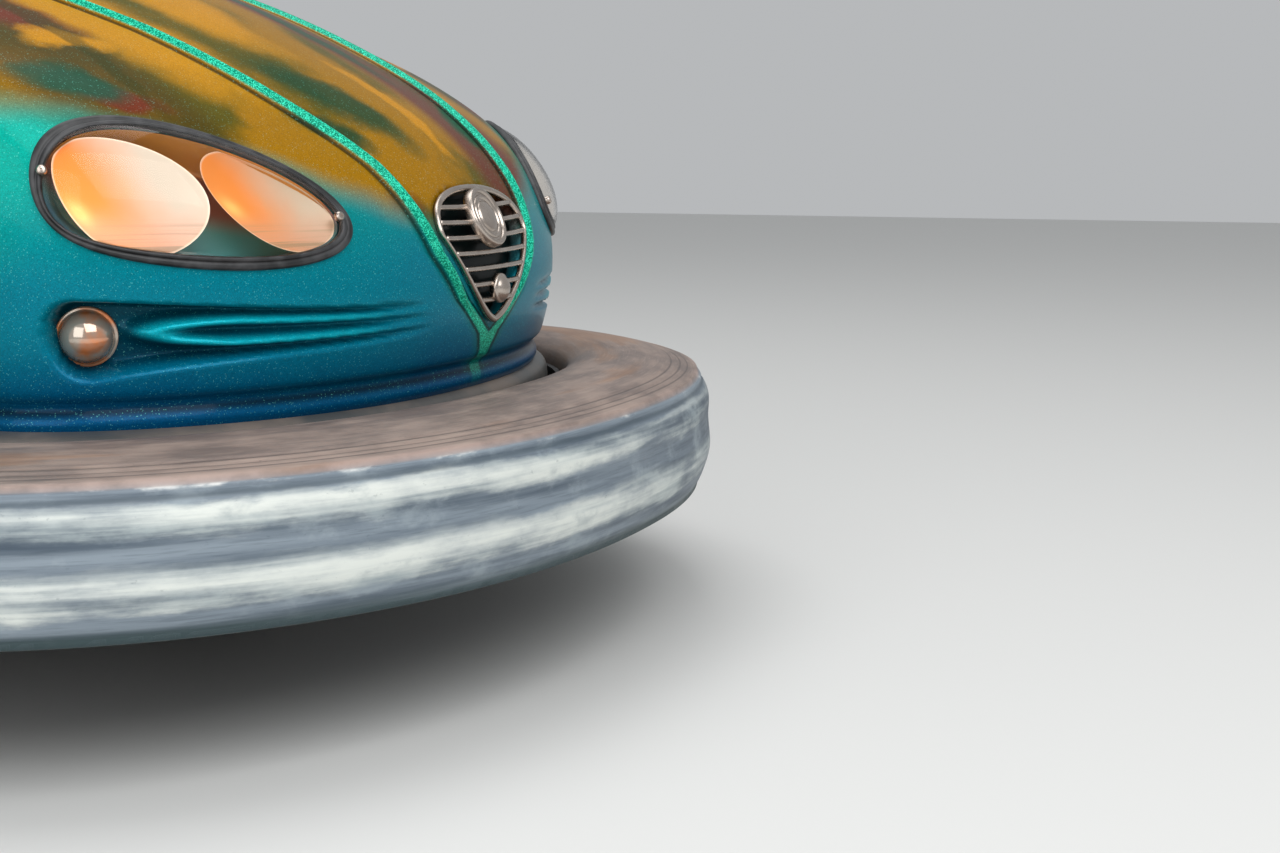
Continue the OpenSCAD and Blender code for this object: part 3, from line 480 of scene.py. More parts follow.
top_part = height.ramp(0.112, 0.116) + inset.ramp(0.120, 0.140)
worn.look(base_color=worn.mix(top_part, face, bloom), roughness=0.34 + smear * 0.35)
worn.bump(streak * 0.7 + smudge * 0.5 + hatch * 0.2 + fleck * 0.3, 0.4, 0.0012)
dress(ring, worn, "root", "ring_rubber", "bumper_ring")

collar_profile, _ = rounded([(166, 80), (165, 112), (170, 122), (182, 126), (198, 127), (204, 118),
                             (204, 80)], 3.0)
soft_grey = Finish("collar_rubber")
soft = soft_grey.noise(12.0, 4)
soft_grey.two_tone(soft, 0.35, 0.65, tint(70, 72, 72), tint(112, 102, 94), 0.32, 0.3)
soft_grey.bump(soft_grey.noise(300.0), 0.1, 0.0005)
dress(hoop("ring_collar", collar_profile, ring_low, 360), soft_grey, "root", "ring_rubber")


# Body mouldings: glass-fibre in two halves, front and rear, from the floor plate up to
# the cockpit. The front carries the lamps, the grille and a raised rib each side of the
# bonnet, and both are sprayed in metal-flake teal. Soft gold, brown and green clouds on
# them are painted reflections.
def round_value(turn, nose, side, tail, power):
    """A smooth change round the car between values at the nose, side and tail."""
    ahead = np.sin(np.radians(turn))
    to_nose, to_tail = np.maximum(0, ahead) ** power, np.maximum(0, -ahead) ** power
    return side + (nose - side) * to_nose + (tail - side) * to_tail


def rim(turn, out=0):
    """The cockpit's edge, moved out: an oval that is highest at its front and back."""
    x, y = oval(turn, 340 + out, -155 - out, 560 + out, 370 + out, 150 + out)
    return np.stack([x, y, round_value(turn, 695, 575, 720, 2.2) + 0 * x], -1)


foot_inset, foot_height, shoulder_pull = 200, 189.3, 0.81


def skin(turn, rise):
    """The body's skin: at each turn a cubic curve from the lower edge to the cockpit's
    edge, with rise from 0 to 1. Both its middle points lie shoulder_pull of the way from
    an end to the shoulder, whose inset and height change round the car."""
    turn, rise = np.broadcast_arrays(np.asarray(turn, float), np.asarray(rise, float))
    foot = np.stack([*outline(turn, foot_inset), 0 * turn + foot_height], -1)
    shoulder_inset = foot_inset + round_value(turn, -159, 6, 40, 1.5)
    shoulder = np.stack([*outline(turn, shoulder_inset), round_value(turn, 454, 610, 650, 4)], -1)
    edge = rim(turn)
    v = rise[..., None]
    low, high = foot + (shoulder - foot) * shoulder_pull, edge + (shoulder - edge) * shoulder_pull
    return (1 - v) ** 3 * foot + 3 * (1 - v) ** 2 * v * low + 3 * (1 - v) * v * v * high + v ** 3 * edge


def skin_normal(turn, rise):
    """The outward direction square to the skin, from small steps up and round."""
    up = skin(turn, np.asarray(rise) + 0.01) - skin(turn, np.asarray(rise) - 0.01)
    across = np.cross(up, skin(np.asarray(turn) + 1, rise) - skin(np.asarray(turn) - 1, rise))
    return across / np.linalg.norm(across, axis=-1, keepdims=True)


def run_round(turn, rise):
    """Millimetres of skin per degree."""
    return np.linalg.norm(skin(turn + 1, rise) - skin(turn - 1, rise), axis=-1) / 2


def run_up(turn, rise):
    """Millimetres of skin per unit of rise."""
    return np.linalg.norm(skin(turn, rise + 0.01) - skin(turn, rise - 0.01), axis=-1) / 0.02


def on_skin(centre, x, y, lift=0):
    """Points x forwards and y up from a centre on the skin, lifted off it."""
    turn = centre[0] + np.asarray(x) / run_round(*centre)
    rise = centre[1] + np.asarray(y) / run_up(*centre)
    return skin(turn, rise) + skin_normal(turn, rise) * np.asarray(lift, float)[..., None]


def eased(value, low, high):
    """0 below low, 1 above high, eased between."""
    t = np.clip((value - low) / (high - low), 0, 1)
    return t * t * (3 - 2 * t)


# Places on the skin are pairs of turn in degrees and rise.
lamp_at, fog_at, grille_at, tail_lamp_at = (61.0, 0.337), (47.0, 0.14), (90.0, 0.292), (232.0, 0.40)
lamp_tip = math.radians(-9.3)
shield_half_tall, shield_half_wide = 59, 98
pocket_turn, pocket_half_tall, pocket_deep, flute_high = 33, 31, 25, 19


def tipped(x, y):
    """A headlamp's own axes, which lean against the fall of the skin's lines."""
    return x * math.cos(lamp_tip) + y * math.sin(lamp_tip), y * math.cos(lamp_tip) - x * math.sin(lamp_tip)


def lamp_edge(t, grow=0):
    """The headlamp's outline at angle t: an ellipse 255 by 113 mm, tapered, bowed and
    skewed by second harmonics, then tipped."""
    x = (127.5 + grow) * np.cos(t) - 4.8 * np.sin(2 * t)
    y = (56.5 + grow) * np.sin(t) * (1 + 0.16 * np.cos(t)) - 7.5 * np.cos(2 * t)
    return tipped(x, y)


def outside_lamp(x, y, grow=0):
    """Distance of points from the headlamp's outline, less than 0 inside it: their radius
    less the outline's radius in the same direction."""
    edge_x, edge_y = lamp_edge(np.linspace(0, 2 * np.pi, 240, endpoint=False), grow)
    angle, radius = np.arctan2(edge_y, edge_x), np.hypot(edge_x, edge_y)
    order = np.argsort(angle)
    return np.hypot(x, y) - np.interp(np.arctan2(y, x), angle[order], radius[order], period=2 * np.pi)


def shield(h):
    """Half width of the grille at height h from -1 at its tip to 1 at its top."""
    upper = np.maximum(0, 1 - np.maximum(0, (h - 0.28) / 0.72) ** 2.4) ** 0.5
    return shield_half_wide * upper * np.where(h > 0.28, 1, np.maximum(0, (h + 1) / 1.28) ** 0.66)


def fog_recess(turn, rise):
    """How deep the fog lamp's pocket is, and how much of a flute stands there, from 0 to 1.
    The pocket has a crisp edge, is deep behind and runs out towards the nose. Two rounded
    flutes part from a point just past the lamp."""
    u = (turn - fog_at[0]) / pocket_turn
    half = pocket_half_tall / run_up(*fog_at) * (1 - 0.40 * np.maximum(0, u))
    w = (rise - fog_at[1] - 0.052 * u) / half
    from_middle = np.hypot(w, np.minimum(u, 0) * 7.2)
    wall = (1 - eased(from_middle, 0.80, 1.0)) * (1 - eased(u, 0.78, 1.08))
    depth = pocket_deep - 12 * eased(u, 0.0, 0.9)
    spread = 0.34 * eased(u, 0.1, 0.5)
    flutes = (swell(w, 0.06 + spread, 0.21) + swell(w, -0.06 - spread, 0.21)) * eased(u, 0.10, 0.30)
    crest = np.minimum(flutes * flute_high, depth * 0.97)
    return wall * (depth - crest), wall * crest / flute_high


# A rib's way over the bonnet: degrees from the nose at each rise.
rib_rise = np.array([0.0, 0.13, 0.157, 0.216, 0.294, 0.354, 0.445, 0.566, 0.686, 0.80, 1.0])
rib_turn = np.array([0.0, 0.0, 0.6, 4.0, 6.6, 7.4, 8.6, 11.4, 13.5, 17.5, 27.0])
rib_least = 2.5


def paint_skin(turn, rise):
    """The painted skin, lifted by the ribs and the dome between them and sunk by the
    grille's seat, the lamp pockets and the groove at its foot. It comes with the distance
    from the headlamp and the marks that the paint follows."""
    folded = np.where(turn > 90, 180 - turn, turn)
    from_lamp = outside_lamp((folded - lamp_at[0]) * run_round(*lamp_at),
                             (rise - lamp_at[1]) * run_up(*lamp_at))
    rib_at = np.interp(rise, rib_rise, rib_turn)
    from_rib = (90 - folded - rib_at) * run_round(90 + 0 * rise, np.clip(rise, 0.02, 0.98))
    fade = eased(rise, 0.17, 0.27)
    rib = 6.5 * swell(from_rib, 0, 7.5) * fade
    beside_rib = 1.6 * (swell(from_rib, 15, 4) + swell(from_rib, -15, 4)) * fade
    in_ribs = (90 - folded) / np.maximum(rib_at, rib_least)
    crown = 9 * swell(in_ribs, 0, 0.75) - 4 * (1 - eased(in_ribs, 1.4, 4))
    crown *= eased(rise, 0.40, 0.55) * (1 - eased(rise, 0.84, 0.97))
    grille_x, grille_y = (turn - 90) * run_round(*grille_at), (rise - grille_at[1]) * run_up(*grille_at)
    in_grille = 1 - eased(np.abs(grille_x) - shield(grille_y / shield_half_tall), -8, -3)
    in_grille *= np.abs(grille_y) < shield_half_tall
    z = skin(turn, rise)[..., 2]
    groove = 5.5 * swell(z, 253, 6) - 2.5 * swell(z, 240, 7)
    press, crest = [np.where(rise < 0.32, share_of, 0) for share_of in fog_recess(folded, rise)]
    lift = rib + crown - press - 9 * in_grille - groove - beside_rib
    points = skin(turn, rise) + skin_normal(turn, np.clip(rise, 0.01, 0.99)) * lift[..., None]
    border = 0.444 - 0.10 * eased(folded, 66, 84)
    return points, from_lamp, {
        "grille": in_grille, "above": rise - border, "from_rib": from_rib / 1000, "deep": press / pocket_deep,
        "crest": crest, "bonnet": eased(-from_rib, -2, 2) * eased(rise, 0.13, 0.2)}


def even_turns(first, last, spacing, rise=0.3):
    """Turns whose points lie evenly along the skin at one height, without the last."""
    fine = np.linspace(first, last, 2000)
    run = np.concatenate([[0], np.cumsum(np.linalg.norm(np.diff(skin(fine, rise), axis=0), axis=1))])
    return np.interp(np.linspace(0, run[-1], int(run[-1] / spacing) + 1), run, fine)[:-1]


# The grid is finest at the grille, and one of its columns follows each rib, so that the
# rib's edges stay clean. Columns beyond it ease back to their own place.
half_turns = np.concatenate([
    even_turns(0, 34, 15), even_turns(34, 58, 4.4), even_turns(58, 78, 4.0), even_turns(78, 86, 2.0),
    even_turns(86, 90, 3.3), [90]])
turn_steps = np.concatenate([half_turns, 180 - half_turns[-2::-1]])
rise_steps = np.concatenate([
    np.linspace(0, 0.215, 60)[:-1], np.linspace(0.215, 0.55, 42)[:-1], np.linspace(0.55, 1, 34)])
turn_grid, rise_grid = np.meshgrid(turn_steps, rise_steps)
rib_column, still_column = 7.4, 60
from_nose = np.abs(90 - turn_grid)
rib_here = np.maximum(np.interp(rise_grid, rib_rise, rib_turn), rib_least)
beyond_rib = rib_here + (from_nose - rib_column) * (still_column - rib_here) / (still_column - rib_column)
from_nose = np.select([from_nose < rib_column, from_nose < still_column],
                      [from_nose * rib_here / rib_column, beyond_rib], from_nose)
turn_grid = 90 - np.sign(90 - turn_grid) * from_nose
points, from_lamp, marks = paint_skin(turn_grid, rise_grid)
lamp_hole = (from_lamp[:-1, :-1] + from_lamp[1:, 1:]) / 2 < 1.0
front = surface("body_front_shell", points, marks, cut=lamp_hole, flip=True, wall=5)

teal = Finish("metal_flake_teal", roughness=0.34, coat_roughness=0.08, coat_ior=1.3, specular_ior_level=0.04)
x, _, z = teal.axes()
out_x = x.maths("ABSOLUTE")
flake, cloud = teal.flakes(1500.0), teal.noise(6.0, 4, 0.5)
drift_x, drift_z = teal.noise(11.0, 4, 0.55), teal.noise(13.0, 4, 0.55, way=(1, 1, -1))
patch_x, patch_z = (drift_x - 0.5) * 0.055, (drift_z - 0.5) * 0.045 + z
level = z + (cloud - 0.5) * 0.08
side = teal.layers(
    tint(0, 74, 116),
    (level.ramp(0.23, 0.33), tint(0, 118, 138)),
    (level.ramp(0.33, 0.46), tint(0, 150, 134)),
    # Painted shade: a dark line along the groove near the body's foot.
    (z.near(0.250, 0.007) * 0.85, tint(0, 18, 30)))


def patch(across, centre_x, centre_z, wide, high, lean, colour, strength=0.92):
    """A soft leaning oval of colour: its factor falls with the square of the distance from
    its centre in half widths and half heights, and the drift breaks its edge."""
    u = (across + patch_x - centre_x - (patch_z - centre_z) * lean) * (1 / wide)
    v = (patch_z - centre_z) * (1 / high)
    return (1 - (u * u + v * v).ramp(0.25, 1.55)) * strength, colour


# Rows of patches of painted reflection: place across and height of the centre, half
# width, half height, lean, colour and strength. The first lie on both sides of the bonnet,
# the others on one.
ochre, leaf, earth, moss = tint(192, 132, 0), tint(14, 62, 34), tint(106, 42, 24), tint(44, 52, 8)
paired_patches = (
    (0.192, 0.545, 0.050, 0.070, 0.0, ochre), (0.276, 0.560, 0.042, 0.036, 0.3, earth),
    (0.268, 0.522, 0.040, 0.009, 0.5, ochre), (0.296, 0.478, 0.030, 0.011, 0.4, earth),
    (0.256, 0.528, 0.010, 0.062, -0.30, moss, 0.6), (0.126, 0.462, 0.030, 0.016, 0.9, leaf),
    (0.316, 0.492, 0.034, 0.016, 0.4, tint(6, 70, 50)), (0.108, 0.400, 0.024, 0.014, 0, earth, 0.5),
    (0.250, 0.660, 0.050, 0.045, 0.2, ochre), (0.320, 0.600, 0.030, 0.030, 0.2, leaf))
single_patches = (
    (-0.066, 0.572, 0.046, 0.050, 0.0, ochre), (-0.072, 0.478, 0.034, 0.036, -0.9, leaf),
    (0.006, 0.476, 0.010, 0.042, -0.2, ochre), (-0.020, 0.640, 0.060, 0.040, 0.3, tint(120, 104, 8)),
    (0.050, 0.650, 0.030, 0.050, 0.3, ochre), (0.090, 0.560, 0.020, 0.060, 0.2, leaf))
# Painted reflections: gold, brown and green clouds over the teal, on the bonnet and high on the sides.
gold_reflections = teal.layers(
    tint(84, 76, 6),
    (teal.noise(3.4, 4, 0.45, way=(2.6, 0.9, 2.6)).ramp(0.42, 0.56), tint(150, 106, 0)),
    (out_x.ramp(0.225, 0.265) * (1 - out_x.ramp(0.34, 0.38)) * 0.8, tint(70, 56, 12)),
    (x.ramp(0.035, 0.075) * (1 - x.ramp(0.16, 0.22)), tint(98, 46, 26)),
    *[patch(out_x, *row) for row in paired_patches], *[patch(x, *row) for row in single_patches])
bonnet, above, in_grille = teal.mark("bonnet"), teal.mark("above"), teal.mark("grille")
over_side = (above + (cloud - 0.5) * 0.10).ramp(-0.03, 0.05)
over_bonnet = (z + (cloud - 0.5) * 0.06).ramp(0.335, 0.40)
over = over_side * (1 - bonnet) + over_bonnet * bonnet
beside = teal.mark("from_rib").maths("ABSOLUTE")
has_rib = (above + 0.45).ramp(0.17, 0.26)
colour = teal.layers(
    side,
    (over, gold_reflections),
    (beside.near(0.0, 0.034) * (1 - z.ramp(0.35, 0.43)) * has_rib * 0.6, tint(0, 116, 88)),
    # Painted shade: a dark line along each flank of the rib.
    (beside.near(0.0125, 0.0055) * has_rib * 0.85, tint(4, 30, 22)),
    ((1 - beside.ramp(0.0072, 0.0100)) * has_rib,
     teal.mix(flake.ramp(0.35, 0.95), tint(0, 132, 104), tint(60, 222, 184))),
    # Painted shade: the grille's seat is darkened nearly black behind the bars.
    (in_grille, tint(6, 16, 16)),
    # Painted shade: the fog lamp's pocket darkens with its depth.
    (teal.mark("deep").ramp(0.1, 0.9) * 0.75, tint(0, 26, 46)),
    # Painted highlight: the flutes' crests are lit pale teal.
    (teal.mark("crest").ramp(0.25, 0.9) * 0.6, tint(10, 176, 190)))
grain = teal.mix(flake, (0.80, 0.80, 0.80, 1), (1.20, 1.20, 1.20, 1))
colour = teal.mix(1.0, colour, grain, blend="MULTIPLY")
# Painted glints: a few flakes are lit pale.
colour = teal.mix(flake.ramp(0.965, 0.985) * 0.24 * (1 - in_grille), colour, tint(120, 226, 206))
teal.look(base_color=colour, metallic=0.28 - over * 0.25, coat_weight=0.22 - over * 0.17)
teal.bump(flake, 0.04, 0.0005)
dress(front, teal, "root", "body_paint", "body_front")

rear_turns, rear_rises = np.meshgrid(np.linspace(180, 360, 201), np.linspace(0, 1, 76))
points, _, marks = paint_skin(rear_turns, rear_rises)
marks = {name: 0 * values for name, values in marks.items()}
marks["above"], marks["from_rib"] = rear_rises - 0.62, 0.5 + 0 * rear_turns
dress(surface("body_rear_shell", points, marks, flip=True, wall=5), teal, "root", "body_paint", "body_rear")


# Headlamps: a dish behind a clear moulded cover, two bright reflectors, and a black rubber
# seal with a double bead. Two small screws hold each cover.
def both_sides(name, points, finish, slot, *nodes, flip=False, **more):
    """The left piece from its points, and the right one mirrored across the car."""
    for side, way in (("left", 1), ("right", -1)):
        piece = surface(f"{name}_{side}", points * (way, 1, 1), flip=(way < 0) != flip, **more)
        dress(piece, finish, "root", slot, *[f"{node}_{side}" for node in nodes])


round_lamp = np.linspace(0, 2 * np.pi, 181)
edge_x, edge_y = lamp_edge(round_lamp, -3.5)
share = np.array([0, 0.1, 0.3, 0.5, 0.7, 0.85, 0.92, 0.935, 0.95, 0.965, 0.98, 1.0])[:, None]
dish_lift = -30 * (1 - eased(share, 0.93, 1.0)) - 1.5
dish = on_skin(lamp_at, edge_x * share, edge_y * share, dish_lift + 0 * round_lamp)
# The dish is coloured with painted reflections, teal below and brown above. A bright gold band at the top of
# its wall is a painted highlight from the cover's edge, and a blue band lies below it.
dish_reflections = Finish("lamp_dish_painted_reflections", coat_weight=0.6)
tall, wall = dish_reflections.mark("tall"), dish_reflections.mark("wall")
dish_reflections.look(roughness=0.25 + dish_reflections.noise(30.0) * 0.2, base_color=dish_reflections.layers(
    tint(52, 136, 140),
    (tall.ramp(-0.35, 0.25), tint(132, 82, 80)),
    (wall * tall.ramp(0.1, 0.6), tint(214, 142, 50)),
    (wall * (1 - tall.ramp(-0.6, -0.1)), tint(74, 120, 150))))
both_sides("headlamp_dish", dish, dish_reflections, "lamp_bowl", "headlamp_bowl",
           marks={"tall": edge_y * share / 50, "wall": eased(share, 0.90, 0.95) + 0 * round_lamp})


def reflector(centre_x, centre_y, half_long, half_high, lean):
    """A bright leaning oval cup: rings about its centre that rise as a power of their
    share, with its rim just under the cover and nothing outside the lamp's outline."""
    k = np.linspace(0, 1, 26)[:, None]
    along, up = k * half_long * np.cos(round_lamp), k * half_high * np.sin(round_lamp)
    lean = math.radians(lean)
    x = centre_x + along * math.cos(lean) - up * math.sin(lean)
    y = centre_y + along * math.sin(lean) + up * math.cos(lean)
    across, tall = tipped(x, y)
    past = np.maximum(outside_lamp(across, tall, -4.5), 0)
    within = 1 - past / np.maximum(np.hypot(across, tall), 1)
    cup = on_skin(lamp_at, across * within, tall * within, -11 + 8 * k ** 2.2 + 0 * round_lamp)
    return cup, x, y, k + 0 * round_lamp


silver = Finish("reflector_silver", metallic=0.35, emission_strength=1.0)
right, high, rim_share = silver.mark("right"), silver.mark("high"), silver.mark("share")
soft = silver.noise(26.0)
stripes = silver.noise(1.0, 3, 0.6, way=(3, 3, 220))
# The cups' colours are painted reflections: amber on one side, silver on the other, pink low down with
# streaks, and a bright painted highlight round the rim.
reflected_colours = silver.layers(
    tint(236, 122, 22),
    ((right + (soft - 0.5) * 0.5).ramp(-0.5, 0.7), tint(192, 184, 174)),
    ((1 - (high + (soft - 0.5) * 0.3).ramp(-0.75, -0.05)) * 0.65, tint(206, 158, 142)),
    (stripes.ramp(0.48, 0.6) * (1 - high.ramp(-0.7, -0.35)) * 0.6, tint(118, 116, 104)),
    (rim_share.ramp(0.965, 0.995) * 0.6, tint(240, 230, 214)))
# Emission makes a painted hot spot glow on each cup.
silver.look(base_color=reflected_colours, roughness=0.34 + soft * 0.14,
            emission_color=silver.mix(silver.mark("painted_glow"), (0, 0, 0, 1), (1.0, 0.58, 0.20, 1)))
# Each cup: its name, oval, place of its painted hot spot, that glow's strength, its least
# value, and the solids that it stands for.
cups = (("rear", (-38.6, 3.8, 70.5, 46.0, 18.8), (-96, -12), 1.0, 0.05, ["headlamp_reflectors"]),
        ("front", (79.5, 1.5, 47.5, 45.0, -32.0), (44, -4), 0.6, 0.15, []))
for name, egg, hot, strength, least, nodes in cups:
    cup, x, y, k = reflector(*egg)
    spread = np.hypot(x - hot[0], y - hot[1])
    painted_glow = least + strength * (0.9 * np.exp(-(spread / 9) ** 2) + 0.22 * np.exp(-(spread / 42) ** 2))
    both_sides(f"headlamp_reflector_{name}", cup, silver, "lamp_reflector", *nodes, marks={
        "share": k, "right": (x - egg[0]) / egg[2], "high": (y - egg[1]) / egg[3], "painted_glow": painted_glow})

rubber = Finish("lamp_seal_rubber")
film = rubber.noise(60.0, 4)
rubber.two_tone(film, 0.35, 0.7, tint(24, 25, 27), tint(62, 62, 64), 0.3, 0.3)
rubber.bump(rubber.noise(700.0), 0.1, 0.0004)
bead, _ = rounded([(-3.8, 0.4), (-3.8, 4.2), (-1.8, 5.8), (0.4, 5.2), (1.2, 3.2), (3.0, 4.6), (6.2, 3.8),
                   (7.4, 1.4), (7.0, -1.5), (0, -2)], 0.7, 2)
bead_out, bead_lift = bead.T[:, :, None]
edge_x, edge_y = lamp_edge(np.linspace(0, 2 * np.pi, 241)[None, :], bead_out)
seal = on_skin(lamp_at, edge_x, edge_y, bead_lift + 0 * edge_x)
both_sides("headlamp_seal_bead", seal, rubber, "lamp_rubber", "headlamp_seal", flip=True)

clear = Finish("clear_lamp_cover", base_color=(1, 0.96, 0.91, 1), transmission_weight=1.0, ior=1.15)
clear.look(roughness=clear.noise(60.0, 4).ramp(0.55, 0.75) * 0.05)


def cover_face(k, top, low):
    """A face of the cover: the lamp's outline shrunk to each share k, and lifted from low
    at its edge to top in its middle."""
    x, y = lamp_edge(round_lamp, -3.0)
    return on_skin(lamp_at, x * k, y * k, low + (top - low) * (1 - k * k) ** 0.8 + 0 * round_lamp)


share = np.sin(np.linspace(0, np.pi / 2, 16))[:, None]
cover = np.concatenate([cover_face(share, 17, 5.2), cover_face(share[::-1], 14.5, 3.2)])
both_sides("headlamp_dome", cover, clear, "lamp_cover", "headlamp_cover")

chrome = Finish("bright_chrome", metallic=1.0)
cloudy = chrome.noise(70.0, 4)
chrome.look(base_color=chrome.mix(cloudy, tint(156, 142, 132), tint(208, 198, 188)),
            roughness=0.16 + cloudy * 0.2)
chrome.bump(chrome.noise(400.0), 0.04, 0.0004)


def on_normal(profile, centre, x, y, base, steps=48):
    """A small part turned about the skin's normal."""
    turn, rise = centre[0] + x / run_round(*centre), centre[1] + y / run_up(*centre)
    return spun(profile, on_skin(centre, x, y, base), skin_normal(turn, rise), steps)


screw = [(0, 1.2), (0.5, 1.2), (0.9, 2.2), (2.6, 2.0), (3.6, 1.1), (4.0, 0), (4.0, -3), (0, -3)]
for number, (x, y) in enumerate(((-107, 1), (122, 2))):
    both_sides(f"cover_screw_{number + 1}", on_normal(screw, lamp_at, x, y, 8.4, 24), chrome, "bright_metal",
               sharp=35)


# Fog lamps: small round lamps with amber glass, each a bowed lens in a rolled rim. They are
# set deep at the rear end of a moulded pocket.
lens_r = 20.5
bow = [(lens_r * math.sin(a), lens_r * math.cos(a) - 3) for a in np.linspace(0, math.radians(78), 14)]
lens_shape = bow + [(21.5, 0), (22.5, 0.5), (23, -2), (23, -14), (0, -14)]
amber = Finish("fog_lamp_glass", roughness=0.12, metallic=0.6, coat_weight=1.0)
amber.look(base_color=amber.mix(amber.noise(42.0).ramp(0.35, 0.62), tint(226, 138, 82), tint(176, 164, 150)))
both_sides("fog_lamp_lens", on_normal(lens_shape, fog_at, 0, -2.5, -22), amber, "fog_lamp", "fog_lamp")


# Grille: a cast shield with seven bars, bright from polishing, with a plain round badge
# above and a small domed button below.
def shield_loop(grow, steps=60):
    """The shield's outline, moved out by grow, and closed: heights by a cosine, widths by
    the shield's formula, then the same mirrored."""
    turn = np.linspace(0, np.pi, steps + 1)
    h = -np.cos(turn)
    x = (shield(h) + grow) * np.where((turn == 0) | (h > 0.99999), 0, 1)
    y = h * (shield_half_tall + grow)
    return np.concatenate([x, -x[-2::-1]]), np.concatenate([y, y[-2::-1]])


bezel, _ = rounded([(-4.8, 0.5), (-4.8, 3.8), (-3.4, 5.6), (-1.2, 5.6), (0.4, 4.0), (0.4, 0.5)], 0.6, 2)
bezel_rows = []
for grow, lift in bezel:
    x, y = shield_loop(grow)
    bezel_rows.append(on_skin(grille_at, x, y, lift + 0 * x))
dress(surface("grille_frame", np.stack(bezel_rows)), chrome, "root", "bright_metal", "grille")
bar_count, bar_margin = 7, 6
bar_pitch = (2 * shield_half_tall - 2 * bar_margin) / (bar_count + 1)
bar_section, _ = rounded([(-2.3, 0), (-2.3, 3.0), (-1.4, 5.0), (1.4, 5.0), (2.3, 3.0), (2.3, 0)], 0.6, 2)
bar_up, bar_out = bar_section.T[:, :, None]
for number in range(bar_count):
    level = -shield_half_tall + bar_margin + (number + 1) * bar_pitch
    reach = float(shield(np.array(level / shield_half_tall))) - 3.5
    across = np.linspace(-reach, reach, 48)[None, :]
    ends = np.where(np.abs(across) < reach, 1.0, 0.0)
    bar = on_skin(grille_at, across + 0 * bar_up, level + bar_up * ends, bar_out * ends + 0.1)
    dress(surface(f"grille_bar_{number + 1}", bar), chrome, "root", "bright_metal")
badge = [(0, 6.6), (4, 6.5), (8, 6.1), (12, 5.2), (13.5, 4.6), (14.5, 3.2), (16.5, 3.2), (17.5, 4.6),
         (18.5, 4.9), (19.5, 4.6), (20.3, 3.3), (22.3, 3.3), (23.2, 5.0), (25, 5.6), (26.6, 4.8),
         (27.4, 2.5), (27.4, -3), (0, -3)]
dress(surface("grille_badge", on_normal(badge, grille_at, 0, 29, 4, 72), sharp=50), chrome, "root",
      "bright_metal", "grille_medallion")
button = [(0, 9.4), (3, 9.1), (6, 8.1), (8.6, 6.4), (10.4, 4.2), (11.4, 3.0), (12.5, 2.8), (12.9, 1.5),
          (12.9, -3), (0, -3)]
dress(surface("grille_button", on_normal(button, grille_at, 0, -31, 5, 60)), chrome, "root", "bright_metal",
      "grille_boss")


# Tail lamps: round red lenses with moulded rings, each held to the rear moulding in a thin
# bright surround.
ruby = Finish("tail_lens_plastic", roughness=0.12, coat_weight=1.0, emission_strength=0.15)
ruby_red = ruby.mix(ruby.noise(24.0).ramp(0.3, 0.7), tint(134, 10, 10), tint(182, 20, 14))
ruby.look(base_color=ruby_red, emission_color=ruby_red)


def round_tail_lamp(radius, lift):
    """Rings of each radius and lift about the left tail lamp's centre."""
    angle = np.linspace(0, 2 * np.pi, 97)[None, :]
    points = on_skin(tail_lamp_at, radius * np.cos(angle), radius * np.sin(angle), lift + 0 * angle)
    return points * (-1, 1, 1)


radius = np.append(np.linspace(0, 39.5, 54), 0)[:, None]
lens_lift = 6 + 12 * (1 - (radius / 42) ** 2) + 0.8 * np.cos(radius * 1.6) * (radius < 34)
lens_lift = np.where(radius > 38.9, 2.0, lens_lift)
lens_lift[-1] = -2
both_sides("tail_lamp_lens", round_tail_lamp(radius, lens_lift), ruby, "tail_lens", "tail_lamp")
surround, _ = rounded([(39.5, 1), (39.5, 9), (41.5, 10.5), (44, 8.5), (45, 1), (44, -2), (40, -2)], 0.9, 2)
both_sides("tail_lamp_surround", round_tail_lamp(*surround.T[:, :, None]), chrome, "bright_metal")


# Cockpit: a black moulded liner and dash with a leather grain, a ribbed steel pedal, and a
# rolled vinyl edge that covers the raw edge of the body. A short skirt hangs inside it.
grained = Finish("black_liner")
wear = grained.noise(14.0, 5, 0.6)
grained.two_tone(wear, 0.4, 0.7, tint(30, 31, 33), tint(54, 54, 55), 0.45, 0.3)
grained.bump(grained.cells(420.0).ramp(0.0, 0.12) + wear * 0.2, 0.4, 0.0006)
coat(grained, "cockpit_liner", "dash_panel", "column_jacket")
pedal_steel = Finish("pedal_steel", metallic=0.9)
_, y, _ = pedal_steel.axes()
tread = (y * 900.0).maths("SINE").ramp(0.1, 0.6)
scratches = pedal_steel.noise(60.0, 4, way=(1, 8, 1))
pedal_steel.look(base_color=pedal_steel.mix(tread, tint(64, 64, 64), tint(164, 162, 158)),
                 roughness=0.3 + scratches * 0.3)
pedal_steel.bump(tread + scratches * 0.2, 0.6, 0.0012)
coat(pedal_steel, "pedal")

